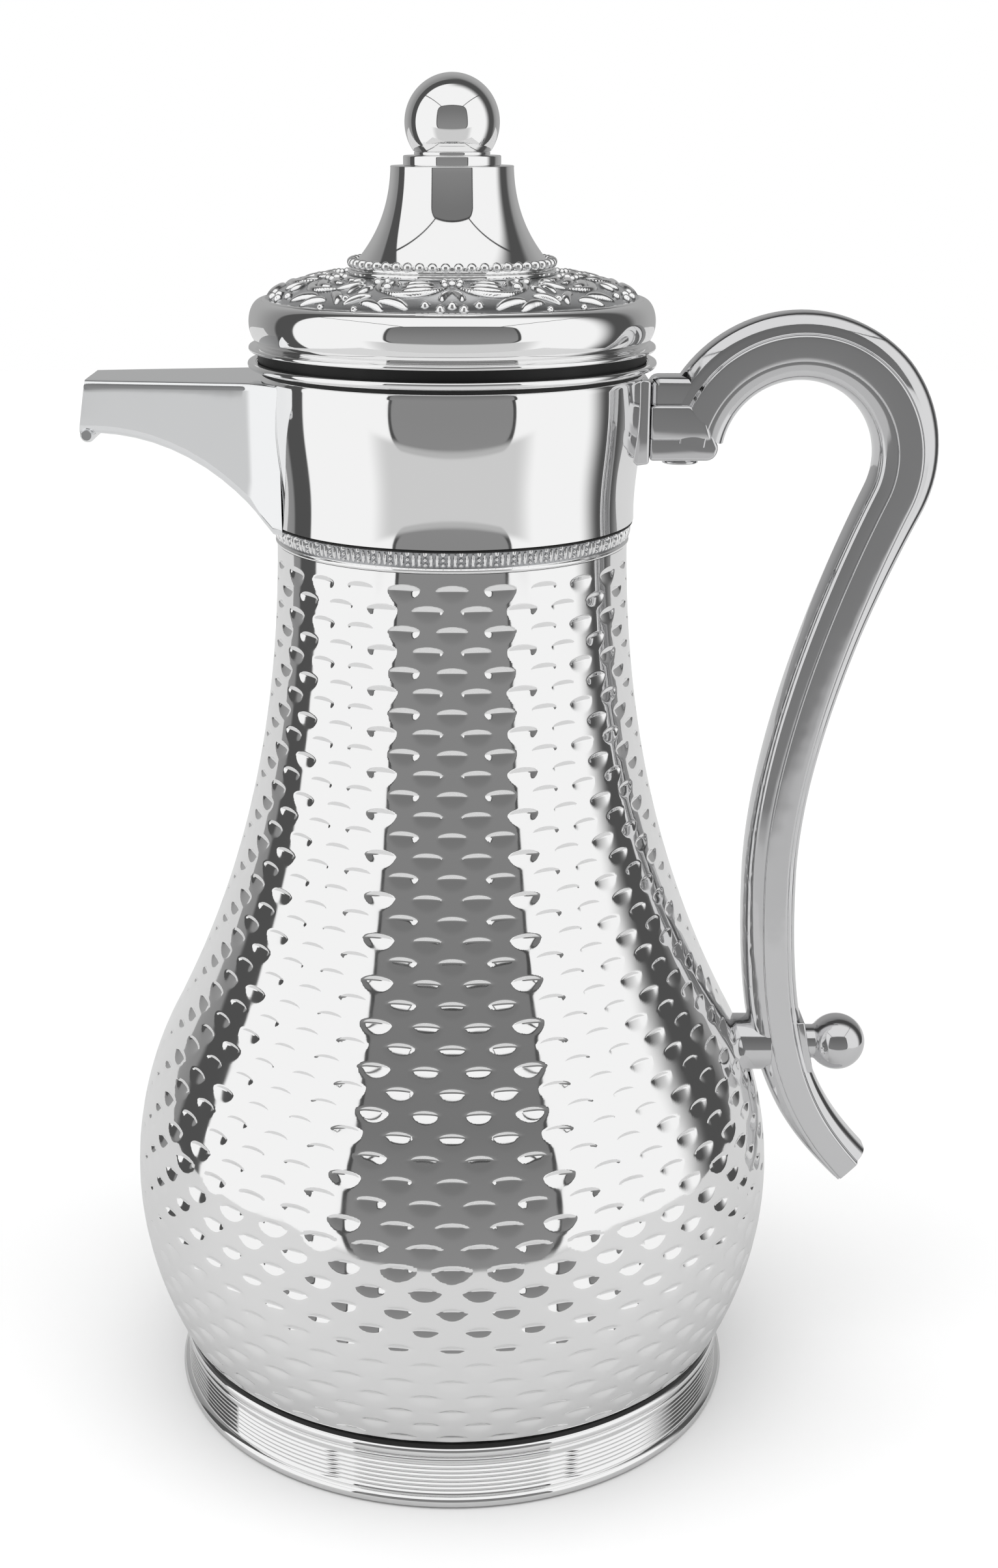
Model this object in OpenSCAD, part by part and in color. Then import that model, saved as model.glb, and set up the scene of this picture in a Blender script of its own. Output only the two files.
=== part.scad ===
// Vacuum dallah: a hammered coffee pot with a glass flask inside and a screw-in lid.
// Millimetres. The origin is on the pot's axis at the underside of the foot.
// +Z is up, the spout points to -X and the handle to +X.

/* [Foot] */
// Radius of the foot's lower bead
foot_r = 70.4; // [64:0.1:86]
// Height of the foot ring
foot_h = 16; // [13:0.5:20]
// Wall of the foot ring
foot_wall = 2.2; // [1.5:0.1:3]

/* [Body shell] */
// Height of the hammered shell above the foot
body_h = 200.5; // [165:0.5:245]
// Radius of the shell where it meets the foot
body_foot_r = 68.9; // [62:0.1:84]
// Radius of the pull that shapes the belly, about 11 more than the belly's own
belly_pull_r = 90.5; // [76:0.5:110]
// Height above the foot of that pull
belly_pull_h = 40.9; // [33:0.1:50]
// Radius of the shell at the hip, where the curve turns from convex to concave
hip_r = 69.6; // [62:0.1:76]
// Height of the hip above the foot
hip_h = 81.3; // [68:0.1:98]
// Radius of the shell at its neck
neck_r = 40.9; // [39:0.1:49]
// Sheet thickness of the shell
shell_wall = 0.8; // [0.5:0.1:1.2]

/* [Neck] */
// Height of the ornament band
band_h = 5.2; // [4:0.1:7]
// Height of the smooth collar
collar_h = 33.8; // [32:0.1:41]
// Flare of the collar's radius from its foot to its top
collar_flare = 1.8; // [0:0.1:3]
// Sheet thickness of the collar
collar_wall = 1.2; // [0.8:0.1:1.6]
// Height of the neck ring's lip
ring_h = 2; // [1.5:0.1:3]
// How far the neck ring stands out past the collar
ring_lip = 2.6; // [1.5:0.1:4]

/* [Lid] */
// Gap between the neck ring and the lid's lip
lid_gap = 2.4; // [1.5:0.1:4]
// Height of the lid's bulged rim
rim_h = 10; // [8:0.5:12]
// Bulge of the rim past the neck ring's inner edge
rim_bulge = 5.1; // [4:0.1:6]
// Rise of the embossed crown
crown_rise = 5.6; // [4.5:0.1:8]
// Radius at which the crown meets the bell
bell_foot_r = 23; // [19:0.1:28]
// Height of the bell
bell_h = 22.4; // [18:0.1:27]
// Radius of the bell's top
bell_top_r = 13.8; // [12.5:0.1:17]
// Number of beads in the ring at the bell's foot
bead_count = 50; // [36:1:60]
// Radius of one bead
bead_r = 1.15; // [0.9:0.05:1.3]
// Radius of the ball finial
ball_r = 10.6; // [9:0.1:12.7]
// Sheet thickness of the lid's covers
lid_wall = 1; // [0.7:0.1:1.5]

/* [Stopper] */
// Inner radius of the throat's threaded part
throat_r = 31; // [29:0.1:33]
// Radius of the hole in the throat's seat
seat_r = 19; // [16:0.5:21]
// Lead of the stopper's thread, the rise in one turn
thread_lead = 8; // [6:0.5:10]
// Radial gap between plug and throat threads
thread_gap = 0.3; // [0.2:0.05:0.6]
// Cross-section radius of the stopper's sealing ring
seal_wire_r = 1.4; // [1:0.1:1.6]
// Working gap between a sealing ring and what it runs in
seal_gap = 0.25; // [0.15:0.05:0.4]

/* [Glass flask] */
// Outer radius of the glass flask
glass_r = 60; // [50:0.5:61]
// Thickness of each glass
glass_wall = 1.6; // [1.2:0.1:2]
// Vacuum gap between the two glasses
vacuum_gap = 3.8; // [3:0.1:5]
// Least gap between the glass and the shell
glass_clear = 2.2; // [1.5:0.1:4]
// Radius of the glass's neck
glass_neck_r = 25.5; // [25:0.1:27]

/* [Spout] */
// Reach of the spout's tip from the pot's axis
spout_reach = 85; // [74:0.5:100]
// Width of the spout at its tip
spout_tip_w = 21; // [17:0.5:25]
// Width of the spout at the collar
spout_root_w = 33; // [28:0.5:39]
// Height of the mouth at the tip
spout_mouth_h = 12; // [10:0.5:14]
// Wall of the spout
spout_wall = 1.4; // [1:0.1:2]

/* [Handle] */
// Radius of the arch's middle line
arch_r = 26; // [23:0.1:30]
// Distance from the collar's top edge to the arch's centre
arch_reach = 35.9; // [33:0.1:42]
// Width of the handle across its flat sides
handle_w = 14; // [12:0.5:17]
// Height of the flat sides, measured across the curve
side_t = 5.6; // [5:0.1:6.7]
// Depth of the rounded cover on the inner side
cover_t = 4.6; // [3.8:0.1:5.5]
// Height of the spine on the arch
spine_t = 4.9; // [4:0.1:5.9]
// Height of the spine where the handle is slimmest
spine_low_t = 2.3; // [2:0.1:2.8]
// Height of the lower fixing's axis above the foot
stud_h = 72; // [60:0.5:86]
// Length of the lower boss at its axis
boss_l = 2.4; // [1.6:0.1:5]
// Radius of the lower boss
boss_r = 7.1; // [6.5:0.1:8.4]
// Radius of the ball nut
knob_r = 7.1; // [6:0.1:8.6]

/* [Hidden] */
$fn = 96;

chrome = [0.80, 0.81, 0.83];
steel = [0.62, 0.63, 0.65];
black_plastic = [0.05, 0.05, 0.055];
white_plastic = [0.88, 0.88, 0.85];
rubber = [0.16, 0.16, 0.17];
silicone = [0.86, 0.87, 0.88];
glass = [0.72, 0.76, 0.78, 0.5];
felt = [0.62, 0.60, 0.55];
foam = [0.93, 0.92, 0.86];

eps = 0.01;
fit_gap = 0.2;     // clearance round anything that drops into a hole

// Levels, from the foot up
shell_z = foot_h;
band_z = shell_z + body_h;
collar_z = band_z + band_h;
ring_z = collar_z + collar_h + 0.8;
seat_z = ring_z + ring_h;
lid_z = seat_z + lid_gap;
lip_t = 1;
crown_z = lid_z + lip_t + rim_h;
ledge_z = crown_z + crown_rise;
ledge_t = 1.1;
bell_z = ledge_z + ledge_t;
bell_top_z = bell_z + bell_h;
disc_t = 2.2;
ball_seat_z = bell_top_z + disc_t;
ball_neck_h = 1.3;
ball_neck_r = 0.81 * ball_r;
ball_z = ball_seat_z + sqrt(pow(ball_r, 2) - pow(ball_neck_r, 2)) + 0.8;

// Radii that follow the neck
collar_foot_r = neck_r + 1.4;
collar_top_r = collar_foot_r + collar_flare;
ring_r = collar_top_r + ring_lip;
rim_in_r = collar_top_r + 0.6;
rim_c_r = rim_in_r - 3.5;

// ---------------------------------------------------------------- curves

function bez_at(p, t) = pow(1 - t, 3) * p[0] + 3 * t * pow(1 - t, 2) * p[1]
    + 3 * t * t * (1 - t) * p[2] + pow(t, 3) * p[3];
function bez(p, n) = [for (i = [0 : n]) bez_at(p, i / n)];
function arc(c, r, a0, a1, n) = [for (i = [0 : n])
    c + r * [cos(a0 + (a1 - a0) * i / n), sin(a0 + (a1 - a0) * i / n)]];
function reversed(p) = [for (i = [len(p) - 1 : -1 : 0]) p[i]];
function unit(v) = v / norm(v);
function tangent(p, i) = unit(p[min(i + 1, len(p) - 1)] - p[max(i - 1, 0)]);
// A path moved sideways: positive is to the left of its direction
function beside(p, d) = [for (i = [0 : len(p) - 1])
    p[i] + (is_list(d) ? d[i] : d) * [-tangent(p, i)[1], tangent(p, i)[0]]];
function ribbon(p, d0, d1) = concat(beside(p, d1), reversed(beside(p, d0)));

module turned(points) {
    rotate_extrude() polygon(points);
}

// A flat outline in the XZ plane, given thickness along Y
module slab(points, w) {
    rotate([90, 0, 0]) linear_extrude(height = w, center = true) polygon(points);
}

module tube(r_out, r_in, z0, z1) {
    translate([0, 0, z0]) difference() {
        cylinder(r = r_out, h = z1 - z0);
        translate([0, 0, -1]) cylinder(r = r_in, h = z1 - z0 + 2);
    }
}

module o_ring(r, wire_r, z) {
    translate([0, 0, z]) rotate_extrude() translate([r, 0]) circle(r = wire_r, $fn = 32);
}

// A cylinder lying along +X
module x_rod(r, x0, x1, z) {
    translate([x0, 0, z]) rotate([0, 90, 0]) cylinder(r = r, h = x1 - x0);
}

// ---------------------------------------------------------------- body shell

hip = [hip_r, shell_z + hip_h];
shell_low = bez([[body_foot_r, shell_z], [belly_pull_r, shell_z + belly_pull_h],
    hip + [3.2, -6.2], hip], 18);
shell_up = bez([hip, hip + [-16.4, 31.7], [neck_r + 0.6, band_z - 49.5],
    [neck_r, band_z]], 18);
shell_curve = concat(shell_low, [for (i = [1 : len(shell_up) - 1]) shell_up[i]]);
shell_table = [for (p = shell_curve) [p[1], p[0]]];
function shell_r(z) = lookup(z, shell_table);

shell_neck_r = neck_r - 1;
shell_neck_top = collar_z + 7;
flange_w = 7;

module body_shell() {
    inner = [for (p = shell_curve) p - [shell_wall, 0]];
    color(chrome) difference() {
        union() {
            turned(concat(shell_curve, reversed(inner)));
            tube(body_foot_r, body_foot_r - flange_w, shell_z, shell_z + shell_wall);
            tube(shell_neck_r, shell_neck_r - shell_wall, band_z - 2, shell_neck_top);
            tube(neck_r - shell_wall / 2, shell_neck_r - shell_wall / 2, band_z - 2, band_z);
        }
        x_rod(stud_r + fit_gap, 0, body_foot_r * 2, stud_z);
    }
}

// ---------------------------------------------------------------- foot and base

web_z = foot_h - 3.6;
web_t = 2.4;
cap_r = 30;
screw_pcd_r = 44;
cup_floor_t = 3;
cup_wall = 2;
base_top_z = shell_z + shell_wall + cup_floor_t;

module foot_section() {
    bead = 1.4;
    low_bead = 1.6;
    groove_r = foot_r - 1.5;
    groove_top = foot_h - 4.6;
    groove_pitch = 1.17;
    translate([foot_r - 0.8 - bead, foot_h - bead]) circle(r = bead, $fn = 32);
    translate([foot_r - 1.9, foot_h - 3.6]) circle(r = 0.7, $fn = 24);
    difference() {
        translate([groove_r - foot_wall, 0]) square([foot_wall, foot_h - bead]);
        for (z = [3.4 : groove_pitch : groove_top])
            translate([groove_r + 0.32, z]) circle(r = 0.5, $fn = 16);
    }
    translate([foot_r - low_bead, low_bead]) circle(r = low_bead, $fn = 32);
    translate([groove_r - foot_wall, 0])
        square([foot_r - low_bead - groove_r + foot_wall, 2 * low_bead]);
}

module foot_ring() {
    color(chrome) difference() {
        union() {
            rotate_extrude() foot_section();
            tube(foot_r - 2.5, cap_r + fit_gap, web_z, web_z + web_t);
            tube(body_foot_r - 1.4, body_foot_r - 4, web_z, foot_h);
        }
        for (a = [0 : 120 : 240]) rotate(a) translate([screw_pcd_r, 0, 0]) cylinder(r = 1.7, h = foot_h);
    }
}

module base_cup() {
    outer = body_foot_r - shell_wall - 1.5;
    color(white_plastic) difference() {
        union() {
            tube(outer, cap_r - 4, shell_z + shell_wall, base_top_z);
            tube(cap_r + cup_wall + 3, cap_r + 2.2, base_top_z, base_top_z + 4);
            for (a = [0 : 120 : 240]) rotate(a) translate([screw_pcd_r, 0, web_z + web_t])
                cylinder(r = 5, h = base_top_z - web_z - web_t + 3);
        }
        for (a = [0 : 120 : 240]) rotate(a) translate([screw_pcd_r, 0, 0])
            cylinder(r = 1.5 + fit_gap, h = base_top_z + 1.5);
    }
}

cap_flange_t = 2;

module base_cap() {
    color(black_plastic) {
        tube(cap_r + 5, 0.001, web_z - cap_flange_t, web_z);
        tube(cap_r, cap_r - 2, web_z, shell_z + shell_wall - fit_gap);
    }
}

module base_screws() {
    color(steel) for (a = [0 : 120 : 240]) rotate(a) translate([screw_pcd_r, 0, 0]) {
        translate([0, 0, web_z - 2.2]) difference() {
            cylinder(r = 3, h = 2.2);
            for (q = [0, 90]) rotate(q) translate([-1.7, -0.35, -1]) cube([3.4, 0.7, 2]);
        }
        translate([0, 0, web_z]) cylinder(r = 1.5, h = base_top_z + 1.3 - web_z);
    }
}

// ---------------------------------------------------------------- glass flask

throat_floor_z = collar_z - 1;
gasket_t = 3;
glass_top_z = throat_floor_z - gasket_t;
tail_tip_z = base_top_z + 3;
glass_low_z = tail_tip_z + 4;
dome_h = 15;
shoulder_h = 50;
shoulder_z = min(shell_z + hip_h + 0.7, glass_top_z - 30 - shoulder_h);
side_z = glass_low_z + dome_h;

function dome(r, h, z) = [for (i = [0 : 12]) [r * sin(i * 7.5), z + h - h * cos(i * 7.5)]];
// The shoulder is a quarter ellipse, pulled in wherever the shell comes too close
function shoulder(r, rn, z, h, clear) = [for (i = [0 : 16])
    let (a = i * 90 / 16, zi = z + h * sin(a))
    [min(rn + (r - rn) * cos(a), shell_r(zi) - shell_wall - clear), zi]];
function flask_curve(skin) = concat(
    dome(glass_r - skin, dome_h, glass_low_z + skin),
    shoulder(glass_r - skin, glass_neck_r - skin, shoulder_z - skin, shoulder_h,
        glass_clear + skin));

inner_skin = glass_wall + vacuum_gap;
lip_z = glass_top_z - 3;

module liner_outer() {
    out = flask_curve(0);
    in = flask_curve(glass_wall);
    color(glass) union() {
        turned(concat(out, [[glass_neck_r, lip_z], [glass_neck_r - glass_wall, lip_z]],
            reversed(in)));
        translate([0, 0, tail_tip_z]) cylinder(r1 = 2, r2 = 4.5, h = glass_low_z - tail_tip_z + 1);
    }
}

module liner_inner() {
    out = flask_curve(inner_skin);
    in = flask_curve(inner_skin + glass_wall);
    bore = glass_neck_r - inner_skin - glass_wall;
    color(glass) union() {
        turned(concat(out, [[glass_neck_r - inner_skin, lip_z], [bore, lip_z]], reversed(in)));
        tube(glass_neck_r, bore, lip_z, glass_top_z);
    }
}

module liner_pads() {
    pad_r = glass_r - glass_wall;
    color(felt) for (a = [0 : 120 : 240], z = [side_z + 8, shoulder_z - 8]) rotate(a + 20)
        intersection() {
            tube(pad_r, pad_r - vacuum_gap, z - 4, z + 4);
            translate([pad_r - 2, 0, z]) cube([8, 8, 8], center = true);
        }
}

module mouth_gasket() {
    color(rubber) tube(glass_neck_r + 1.5, seat_r, glass_top_z, throat_floor_z);
}

module tail_cushion() {
    color(rubber) difference() {
        tube(cap_r + 2, cap_r - 12, base_top_z, glass_low_z + 9);
        turned(flask_base_cut());
    }
}

function flask_base_cut() = concat([for (p = dome(glass_r, dome_h, glass_low_z)) p],
    [[glass_r, glass_low_z + 30], [0, glass_low_z + 30]]);

// ---------------------------------------------------------------- neck

module ornament_band() {
    color(chrome) turned([[shell_neck_r + fit_gap, band_z], [neck_r + 0.5, band_z],
        [neck_r + 0.7, band_z + 0.8], [collar_foot_r - 0.6, collar_z - 0.7],
        [collar_foot_r - 0.3, collar_z], [shell_neck_r + fit_gap, collar_z]]);
}

duct_w = 22;
duct_h = 14;
duct_z = collar_z + 7.4;
duct_wall = 1.6;

module collar() {
    out = [collar_foot_r, collar_z];
    top = [collar_top_r, collar_z + collar_h];
    in = [-collar_wall, 0];
    color(chrome) difference() {
        turned([out, top, top + in, out + in]);
        translate([-collar_top_r - 5, -duct_w / 2, duct_z])
            cube([collar_top_r, duct_w, duct_h]);
        x_rod(stub_r + fit_gap, 0, collar_top_r + 5, stub_z);
    }
}

ring_bore = collar_top_r - 2.2;

module neck_ring() {
    z1 = ring_z + ring_h;
    color(chrome) rotate_extrude() difference() {
        union() {
            translate([ring_bore, ring_z]) square([ring_r - 1 - ring_bore, ring_h]);
            translate([ring_r - 1, ring_z + 1]) circle(r = 1, $fn = 32);
            translate([ring_bore, ring_z - 0.8]) square([collar_top_r - 0.5 - ring_bore, 1]);
        }
        translate([ring_bore - 1, z1 - 1]) square([rim_in_r + 0.1 - ring_bore + 1, 2]);
    }
}

// The throat: a wide cup above, the threaded part and the seat below
cup_r = ring_bore - 2.6;
throat_wall = 2.2;
cup_floor_z = ring_z - 8;
thread_z = cup_floor_z - 11.5;

module throat() {
    outer_cup = collar_top_r - collar_wall - 1;
    spigot_r = glass_neck_r + 1.5 + fit_gap;
    color(white_plastic) difference() {
        union() {
            turned([
                [cup_r, throat_top_z], [outer_cup, throat_top_z], [outer_cup, cup_floor_z - 1.5],
                [throat_r + throat_wall, cup_floor_z - 5], [throat_r + throat_wall, throat_floor_z],
                [spigot_r + 2, throat_floor_z], [spigot_r + 2, throat_floor_z - 6],
                [spigot_r, throat_floor_z - 6], [spigot_r, throat_floor_z],
                [seat_r, throat_floor_z], [seat_r, throat_floor_z + 2.5],
                [seat_r + 1.5, seat_top_z], [throat_r, seat_top_z],
                [throat_r, cup_floor_z - 3], [cup_r, cup_floor_z]]);
            thread(throat_r + 0.6, -1.4, thread_z - 1);
        }
        translate([-throat_r - 8, -duct_w / 2 + duct_wall, duct_z + duct_wall])
            cube([16, duct_w - 2 * duct_wall, duct_h - 2 * duct_wall]);
    }
}

// Two raised ribs on a screw line, one turn each, made of short straight runs.
// A positive rib stands out of a plug, a negative one stands into a bore.
function thread_ring(r, depth, z, a, half) = [
    [r * cos(a), r * sin(a), z - half],
    [(r + depth) * cos(a), (r + depth) * sin(a), z - half / 3],
    [(r + depth) * cos(a), (r + depth) * sin(a), z + half / 3],
    [r * cos(a), r * sin(a), z + half]];

module thread(r, depth, z0) {
    steps = 36;
    half = 1.1;
    sweep = 250;
    for (start = [0, 180]) {
        points = [for (i = [0 : steps]) each thread_ring(r, depth,
            z0 + i * thread_lead * sweep / 360 / steps, start + 30 + i * sweep / steps, half)];
        sides = [for (i = [0 : steps - 1], k = [0 : 3])
            let (a = i * 4 + k, b = i * 4 + (k + 1) % 4)
            depth > 0 ? [a, b, b + 4, a + 4] : [a, a + 4, b + 4, b]];
        ends = depth > 0 ? [[3, 2, 1, 0], [for (k = [0 : 3]) steps * 4 + k]]
            : [[0, 1, 2, 3], [for (k = [3 : -1 : 0]) steps * 4 + k]];
        polyhedron(points = points, faces = concat(sides, ends), convexity = 6);
    }
}

module throat_clamp() {
    color(black_plastic) tube(shell_neck_r - shell_wall - fit_gap, throat_r + throat_wall + fit_gap,
        throat_floor_z + 1, throat_floor_z + 6);
}

// ---------------------------------------------------------------- spout

spout_top_z = collar_z + collar_h - 0.9;
spout_tip_x = -spout_reach;
spout_drip_r = 2;

spout_low = bez([[spout_tip_x + 2.7, spout_top_z - spout_mouth_h],
    [spout_tip_x + 19, spout_top_z - spout_mouth_h],
    [-collar_foot_r - 9.5, spout_top_z - 19.5],
    [-collar_foot_r + 1.3, collar_z - 1.8]], 14);

function spout_side() = concat([[-20, collar_z - 1.8], [-20, spout_top_z],
    [spout_tip_x + 2.2, spout_top_z], [spout_tip_x, spout_top_z - spout_mouth_h + 1.5]], spout_low);

function spout_plan(t) = [[spout_tip_x - 5, -spout_tip_w / 2 + t], [spout_tip_x - 5, spout_tip_w / 2 - t],
    [-collar_top_r, spout_root_w / 2 - t], [-20, spout_root_w / 2 - t],
    [-20, -spout_root_w / 2 + t], [-collar_top_r, -spout_root_w / 2 + t]];

module spout_solid(t) {
    intersection() {
        slab(spout_side(), 2 * spout_root_w);
        translate([0, 0, collar_z - 5]) linear_extrude(height = collar_h + 10) polygon(spout_plan(t));
    }
}

module spout() {
    color(chrome) difference() {
        union() {
            spout_solid(0);
            translate([spout_tip_x + spout_drip_r, 0, spout_top_z - spout_mouth_h])
                rotate([90, 0, 0]) cylinder(r = spout_drip_r, h = spout_tip_w - 2, center = true);
        }
        // the hollow way through, open at the tip
        intersection() {
            slab(concat([[-20, collar_z - 4], [-20, spout_top_z - spout_wall],
                [spout_tip_x - 6, spout_top_z - spout_wall],
                [spout_tip_x - 6, spout_top_z - spout_mouth_h + spout_wall + 1]],
                [for (p = spout_low) p + [0.6, spout_wall + 0.4]]), 2 * spout_root_w);
            translate([0, 0, collar_z - 5]) linear_extrude(height = collar_h + 10)
                polygon(spout_plan(spout_wall));
        }
        // the seat on the collar
        translate([0, 0, collar_z]) cylinder(r1 = collar_foot_r, r2 = collar_top_r, h = collar_h);
        translate([0, 0, collar_z - 10]) cylinder(r = collar_foot_r, h = 10 + eps);
    }
}

module duct_block(x0, x1, grow) {
    translate([x0, -duct_w / 2 - grow, duct_z - grow])
        cube([x1 - x0, duct_w + 2 * grow, duct_h + 2 * grow]);
}

module spout_duct() {
    color(white_plastic) difference() {
        duct_block(-collar_foot_r - 0.4, -throat_r - throat_wall + 0.6, -fit_gap);
        duct_block(-collar_top_r - 9, 0, -duct_wall);
        cylinder(r = throat_r + throat_wall + 1.5, h = ring_z);
    }
}

module spout_gasket() {
    color(rubber) difference() {
        intersection() {
            duct_block(-collar_foot_r, 0, -fit_gap);
            cylinder(r = throat_r + throat_wall + 1.4, h = ring_z);
        }
        duct_block(-collar_top_r, 0, -duct_wall);
        cylinder(r = throat_r + throat_wall + eps, h = ring_z);
    }
}

// ---------------------------------------------------------------- handle

arch_x = collar_top_r + arch_reach;
arch_z = ring_z - 20.5;
heel_angle = 152;
toe_angle = -24;
stud_z = shell_z + stud_h;
stud_r = 2.5;
boss_x0 = shell_r(stud_z);
grip_x = boss_x0 + boss_l + (side_t / 2 + cover_t) / cos(20);
boss_x1 = grip_x - side_t / 2 - 2.4;
tail_x = grip_x + 17.5;
tail_z = stud_z - 33;
toe = [arch_x + arch_r * cos(toe_angle), arch_z + arch_r * sin(toe_angle)];
toe_dir = [sin(toe_angle), -cos(toe_angle)];
waist = [grip_x - 4.2, stud_z + 44.3];

arch_path = arc([arch_x, arch_z], arch_r, heel_angle, toe_angle, 28);
grip_path = bez([toe, toe + 27.8 * toe_dir, waist + [0, 30.2], waist], 18);
tail_path = bez([waist, waist - [0, 47.2], [tail_x - 12.6, tail_z + 14.6],
    [tail_x, tail_z]], 20);
handle_path = concat(arch_path, [for (i = [1 : len(grip_path) - 1]) grip_path[i]],
    [for (i = [1 : len(tail_path) - 1]) tail_path[i]]);
last = len(handle_path) - 1;

// The spine is tallest on the arch, slims down the grip and swells again at the tail
function spine_at(i) = let (s = i / last)
    s < 0.25 ? spine_t
    : s < 0.55 ? spine_t + (spine_low_t - spine_t) * (1 - cos((s - 0.25) * 600)) / 2
    : s < 0.85 ? spine_low_t
    : spine_low_t + 3.2 * sin((s - 0.85) * 600);
spine_edge = [for (i = [0 : last]) side_t / 2 + spine_at(i)];
spine_w = handle_w - 3.6;
cover_w = handle_w - 2.4;
shell_t = 2;

arm_z = arch_z + arch_r * sin(heel_angle) - 3.6;
socket_x = collar_top_r + 1.2;
arm_x = arch_x + arch_r * cos(heel_angle) + 4;
arm_top = arm_z + side_t / 2 + 7;
arm_low = arm_z - side_t / 2 - 6.6;

stub_r = 3;
stub_z = arm_z - 7;
screw_x = socket_x + 7.6;

module handle_shell() {
    heel_cut = arch_x - arch_r + side_t / 2 + cover_t;
    color(chrome) difference() {
        union() {
            slab(ribbon(handle_path, -side_t / 2, side_t / 2), handle_w);
            slab(ribbon(handle_path, 0, spine_edge), spine_w);
            // the arm that meets the collar
            slab([[socket_x, arm_z - side_t / 2], [arm_x, arm_z - side_t / 2],
                [arm_x, arm_z + side_t / 2], [socket_x, arm_z + side_t / 2]], handle_w);
            slab([[socket_x, arm_z], [arm_x, arm_z], [arm_x - 2, arm_top + 2.6],
                [arm_x - 5, arm_top], [socket_x, arm_top]], spine_w);
            slab([[socket_x, arm_low], [heel_cut - 1.6, arm_low], [heel_cut, arm_low + 1.6],
                [heel_cut, arm_z], [socket_x, arm_z]], cover_w);
        }
        // the hollow under the arch and grip, closed by the cover
        slab(ribbon([for (i = [5 : last - 24]) handle_path[i]], -side_t / 2 - eps,
            side_t / 2 - 0.6), handle_w - 2 * shell_t);
        // pocket for the socket's tenon, and the way in for its screw
        tenon(fit_gap);
        translate([screw_x, 0, arm_low - 1]) cylinder(r = 2 + fit_gap, h = 9);
        translate([screw_x, 0, arm_low - 1]) cylinder(r = 3.6 + fit_gap, h = 4.2);
        x_rod(stud_r + fit_gap, boss_x1 - 6, tail_x + 30, stud_z);
        saddle_block(12, spine_w + 2, 14 + 2 * fit_gap);
    }
}

module handle_cover() {
    start = 2;
    path = [for (i = [start : last]) handle_path[i]];
    color(chrome) difference() {
        slab(ribbon(path, -side_t / 2 - cover_t, -side_t / 2), cover_w);
        translate([0, -handle_w, arm_low - 5])
            cube([arch_x - arch_r + side_t / 2 + cover_t, 2 * handle_w, 60]);
        x_rod(stud_r + fit_gap, boss_x1 - 6, tail_x, stud_z);
        x_rod(boss_r + fit_gap, 0, boss_x1, stud_z);
    }
}

tenon_w = 8;
tenon_l = 12;
tenon_h = 9;

module tenon(grow) {
    translate([socket_x - eps, -tenon_w / 2 - grow, arm_z - tenon_h / 2 - grow])
        cube([tenon_l + grow, tenon_w + 2 * grow, tenon_h + 2 * grow]);
}

module handle_socket() {
    h = arm_top - arm_low + 1.6;
    color(chrome) difference() {
        union() {
            translate([collar_foot_r - 8, -handle_w / 2 - 0.8, arm_low - 0.8])
                cube([socket_x - collar_foot_r + 8, handle_w + 1.6, h]);
            difference() {
                tenon(0);
                translate([screw_x, 0, arm_low]) cylinder(r = 1.5 + fit_gap, h = 11.5);
            }
        }
        translate([0, 0, collar_z]) cylinder(r1 = collar_foot_r, r2 = collar_top_r, h = collar_h);
        translate([0, 0, collar_z - 30]) cylinder(r = collar_foot_r, h = 30 + eps);
    }
    color(chrome) x_rod(stub_r, collar_foot_r - 6.4, socket_x, stub_z);
}

module socket_nut() {
    color(steel) difference() {
        x_rod(6, collar_foot_r - 5.2, collar_foot_r - 2.2, stub_z);
        x_rod(stub_r + eps, 0, collar_top_r, stub_z);
    }
}

module handle_screw() {
    color(steel) {
        translate([screw_x, 0, arm_low + 3.2]) cylinder(r = 1.5, h = 7.6);
        translate([screw_x, 0, arm_low + 1.6]) cylinder(r = 3, h = 1.6);
    }
}

module screw_plug() {
    color(chrome) translate([screw_x, 0, 0]) {
        translate([0, 0, arm_low - 0.6]) difference() {
            cylinder(r = 4.2, h = 0.6);
            translate([0, 0, -eps]) cylinder(r = 2.6, h = 0.3);
        }
        translate([0, 0, arm_low]) cylinder(r = 3.6, h = 1.4);
    }
}

module lower_boss() {
    color(chrome) difference() {
        x_rod(boss_r, boss_x0 - 12, boss_x1, stud_z);
        x_rod(stud_r + fit_gap, 0, tail_x, stud_z);
        turned(concat([[0, shell_z]], shell_curve, [[0, band_z]]));
    }
}

module stud_plate() {
    color(steel) difference() {
        intersection() {
            translate([boss_x0 - 14, -9, stud_z - 9]) cube([20, 18, 18]);
            turned(concat([[0, shell_z + 1]],
                [for (p = shell_curve) p - [shell_wall + 0.1, 0]], [[0, band_z]]));
        }
        turned(concat([[0, shell_z + 1]], [for (p = shell_curve) p - [shell_wall + 1.7, 0]],
            [[0, band_z]]));
        x_rod(stud_r, 0, tail_x, stud_z);
    }
}

saddle_seat_x = grip_x + side_t / 2 + 0.6;
saddle_t = 2;
saddle_tilt = 12;

// A block that lies against the handle's back, where the stud comes through
module saddle_block(t, w, h) {
    translate([saddle_seat_x, 0, stud_z]) rotate([0, -saddle_tilt, 0])
        translate([0, -w / 2, -h / 2]) cube([t, w, h]);
}

module saddle_plate() {
    color(chrome) difference() {
        saddle_block(saddle_t, spine_w, 14);
        x_rod(stud_r + fit_gap, 0, tail_x + 20, stud_z);
    }
}

module lower_stud() {
    color(steel) x_rod(stud_r, boss_x0 - 6, saddle_seat_x + saddle_t + 6, stud_z);
}

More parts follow.
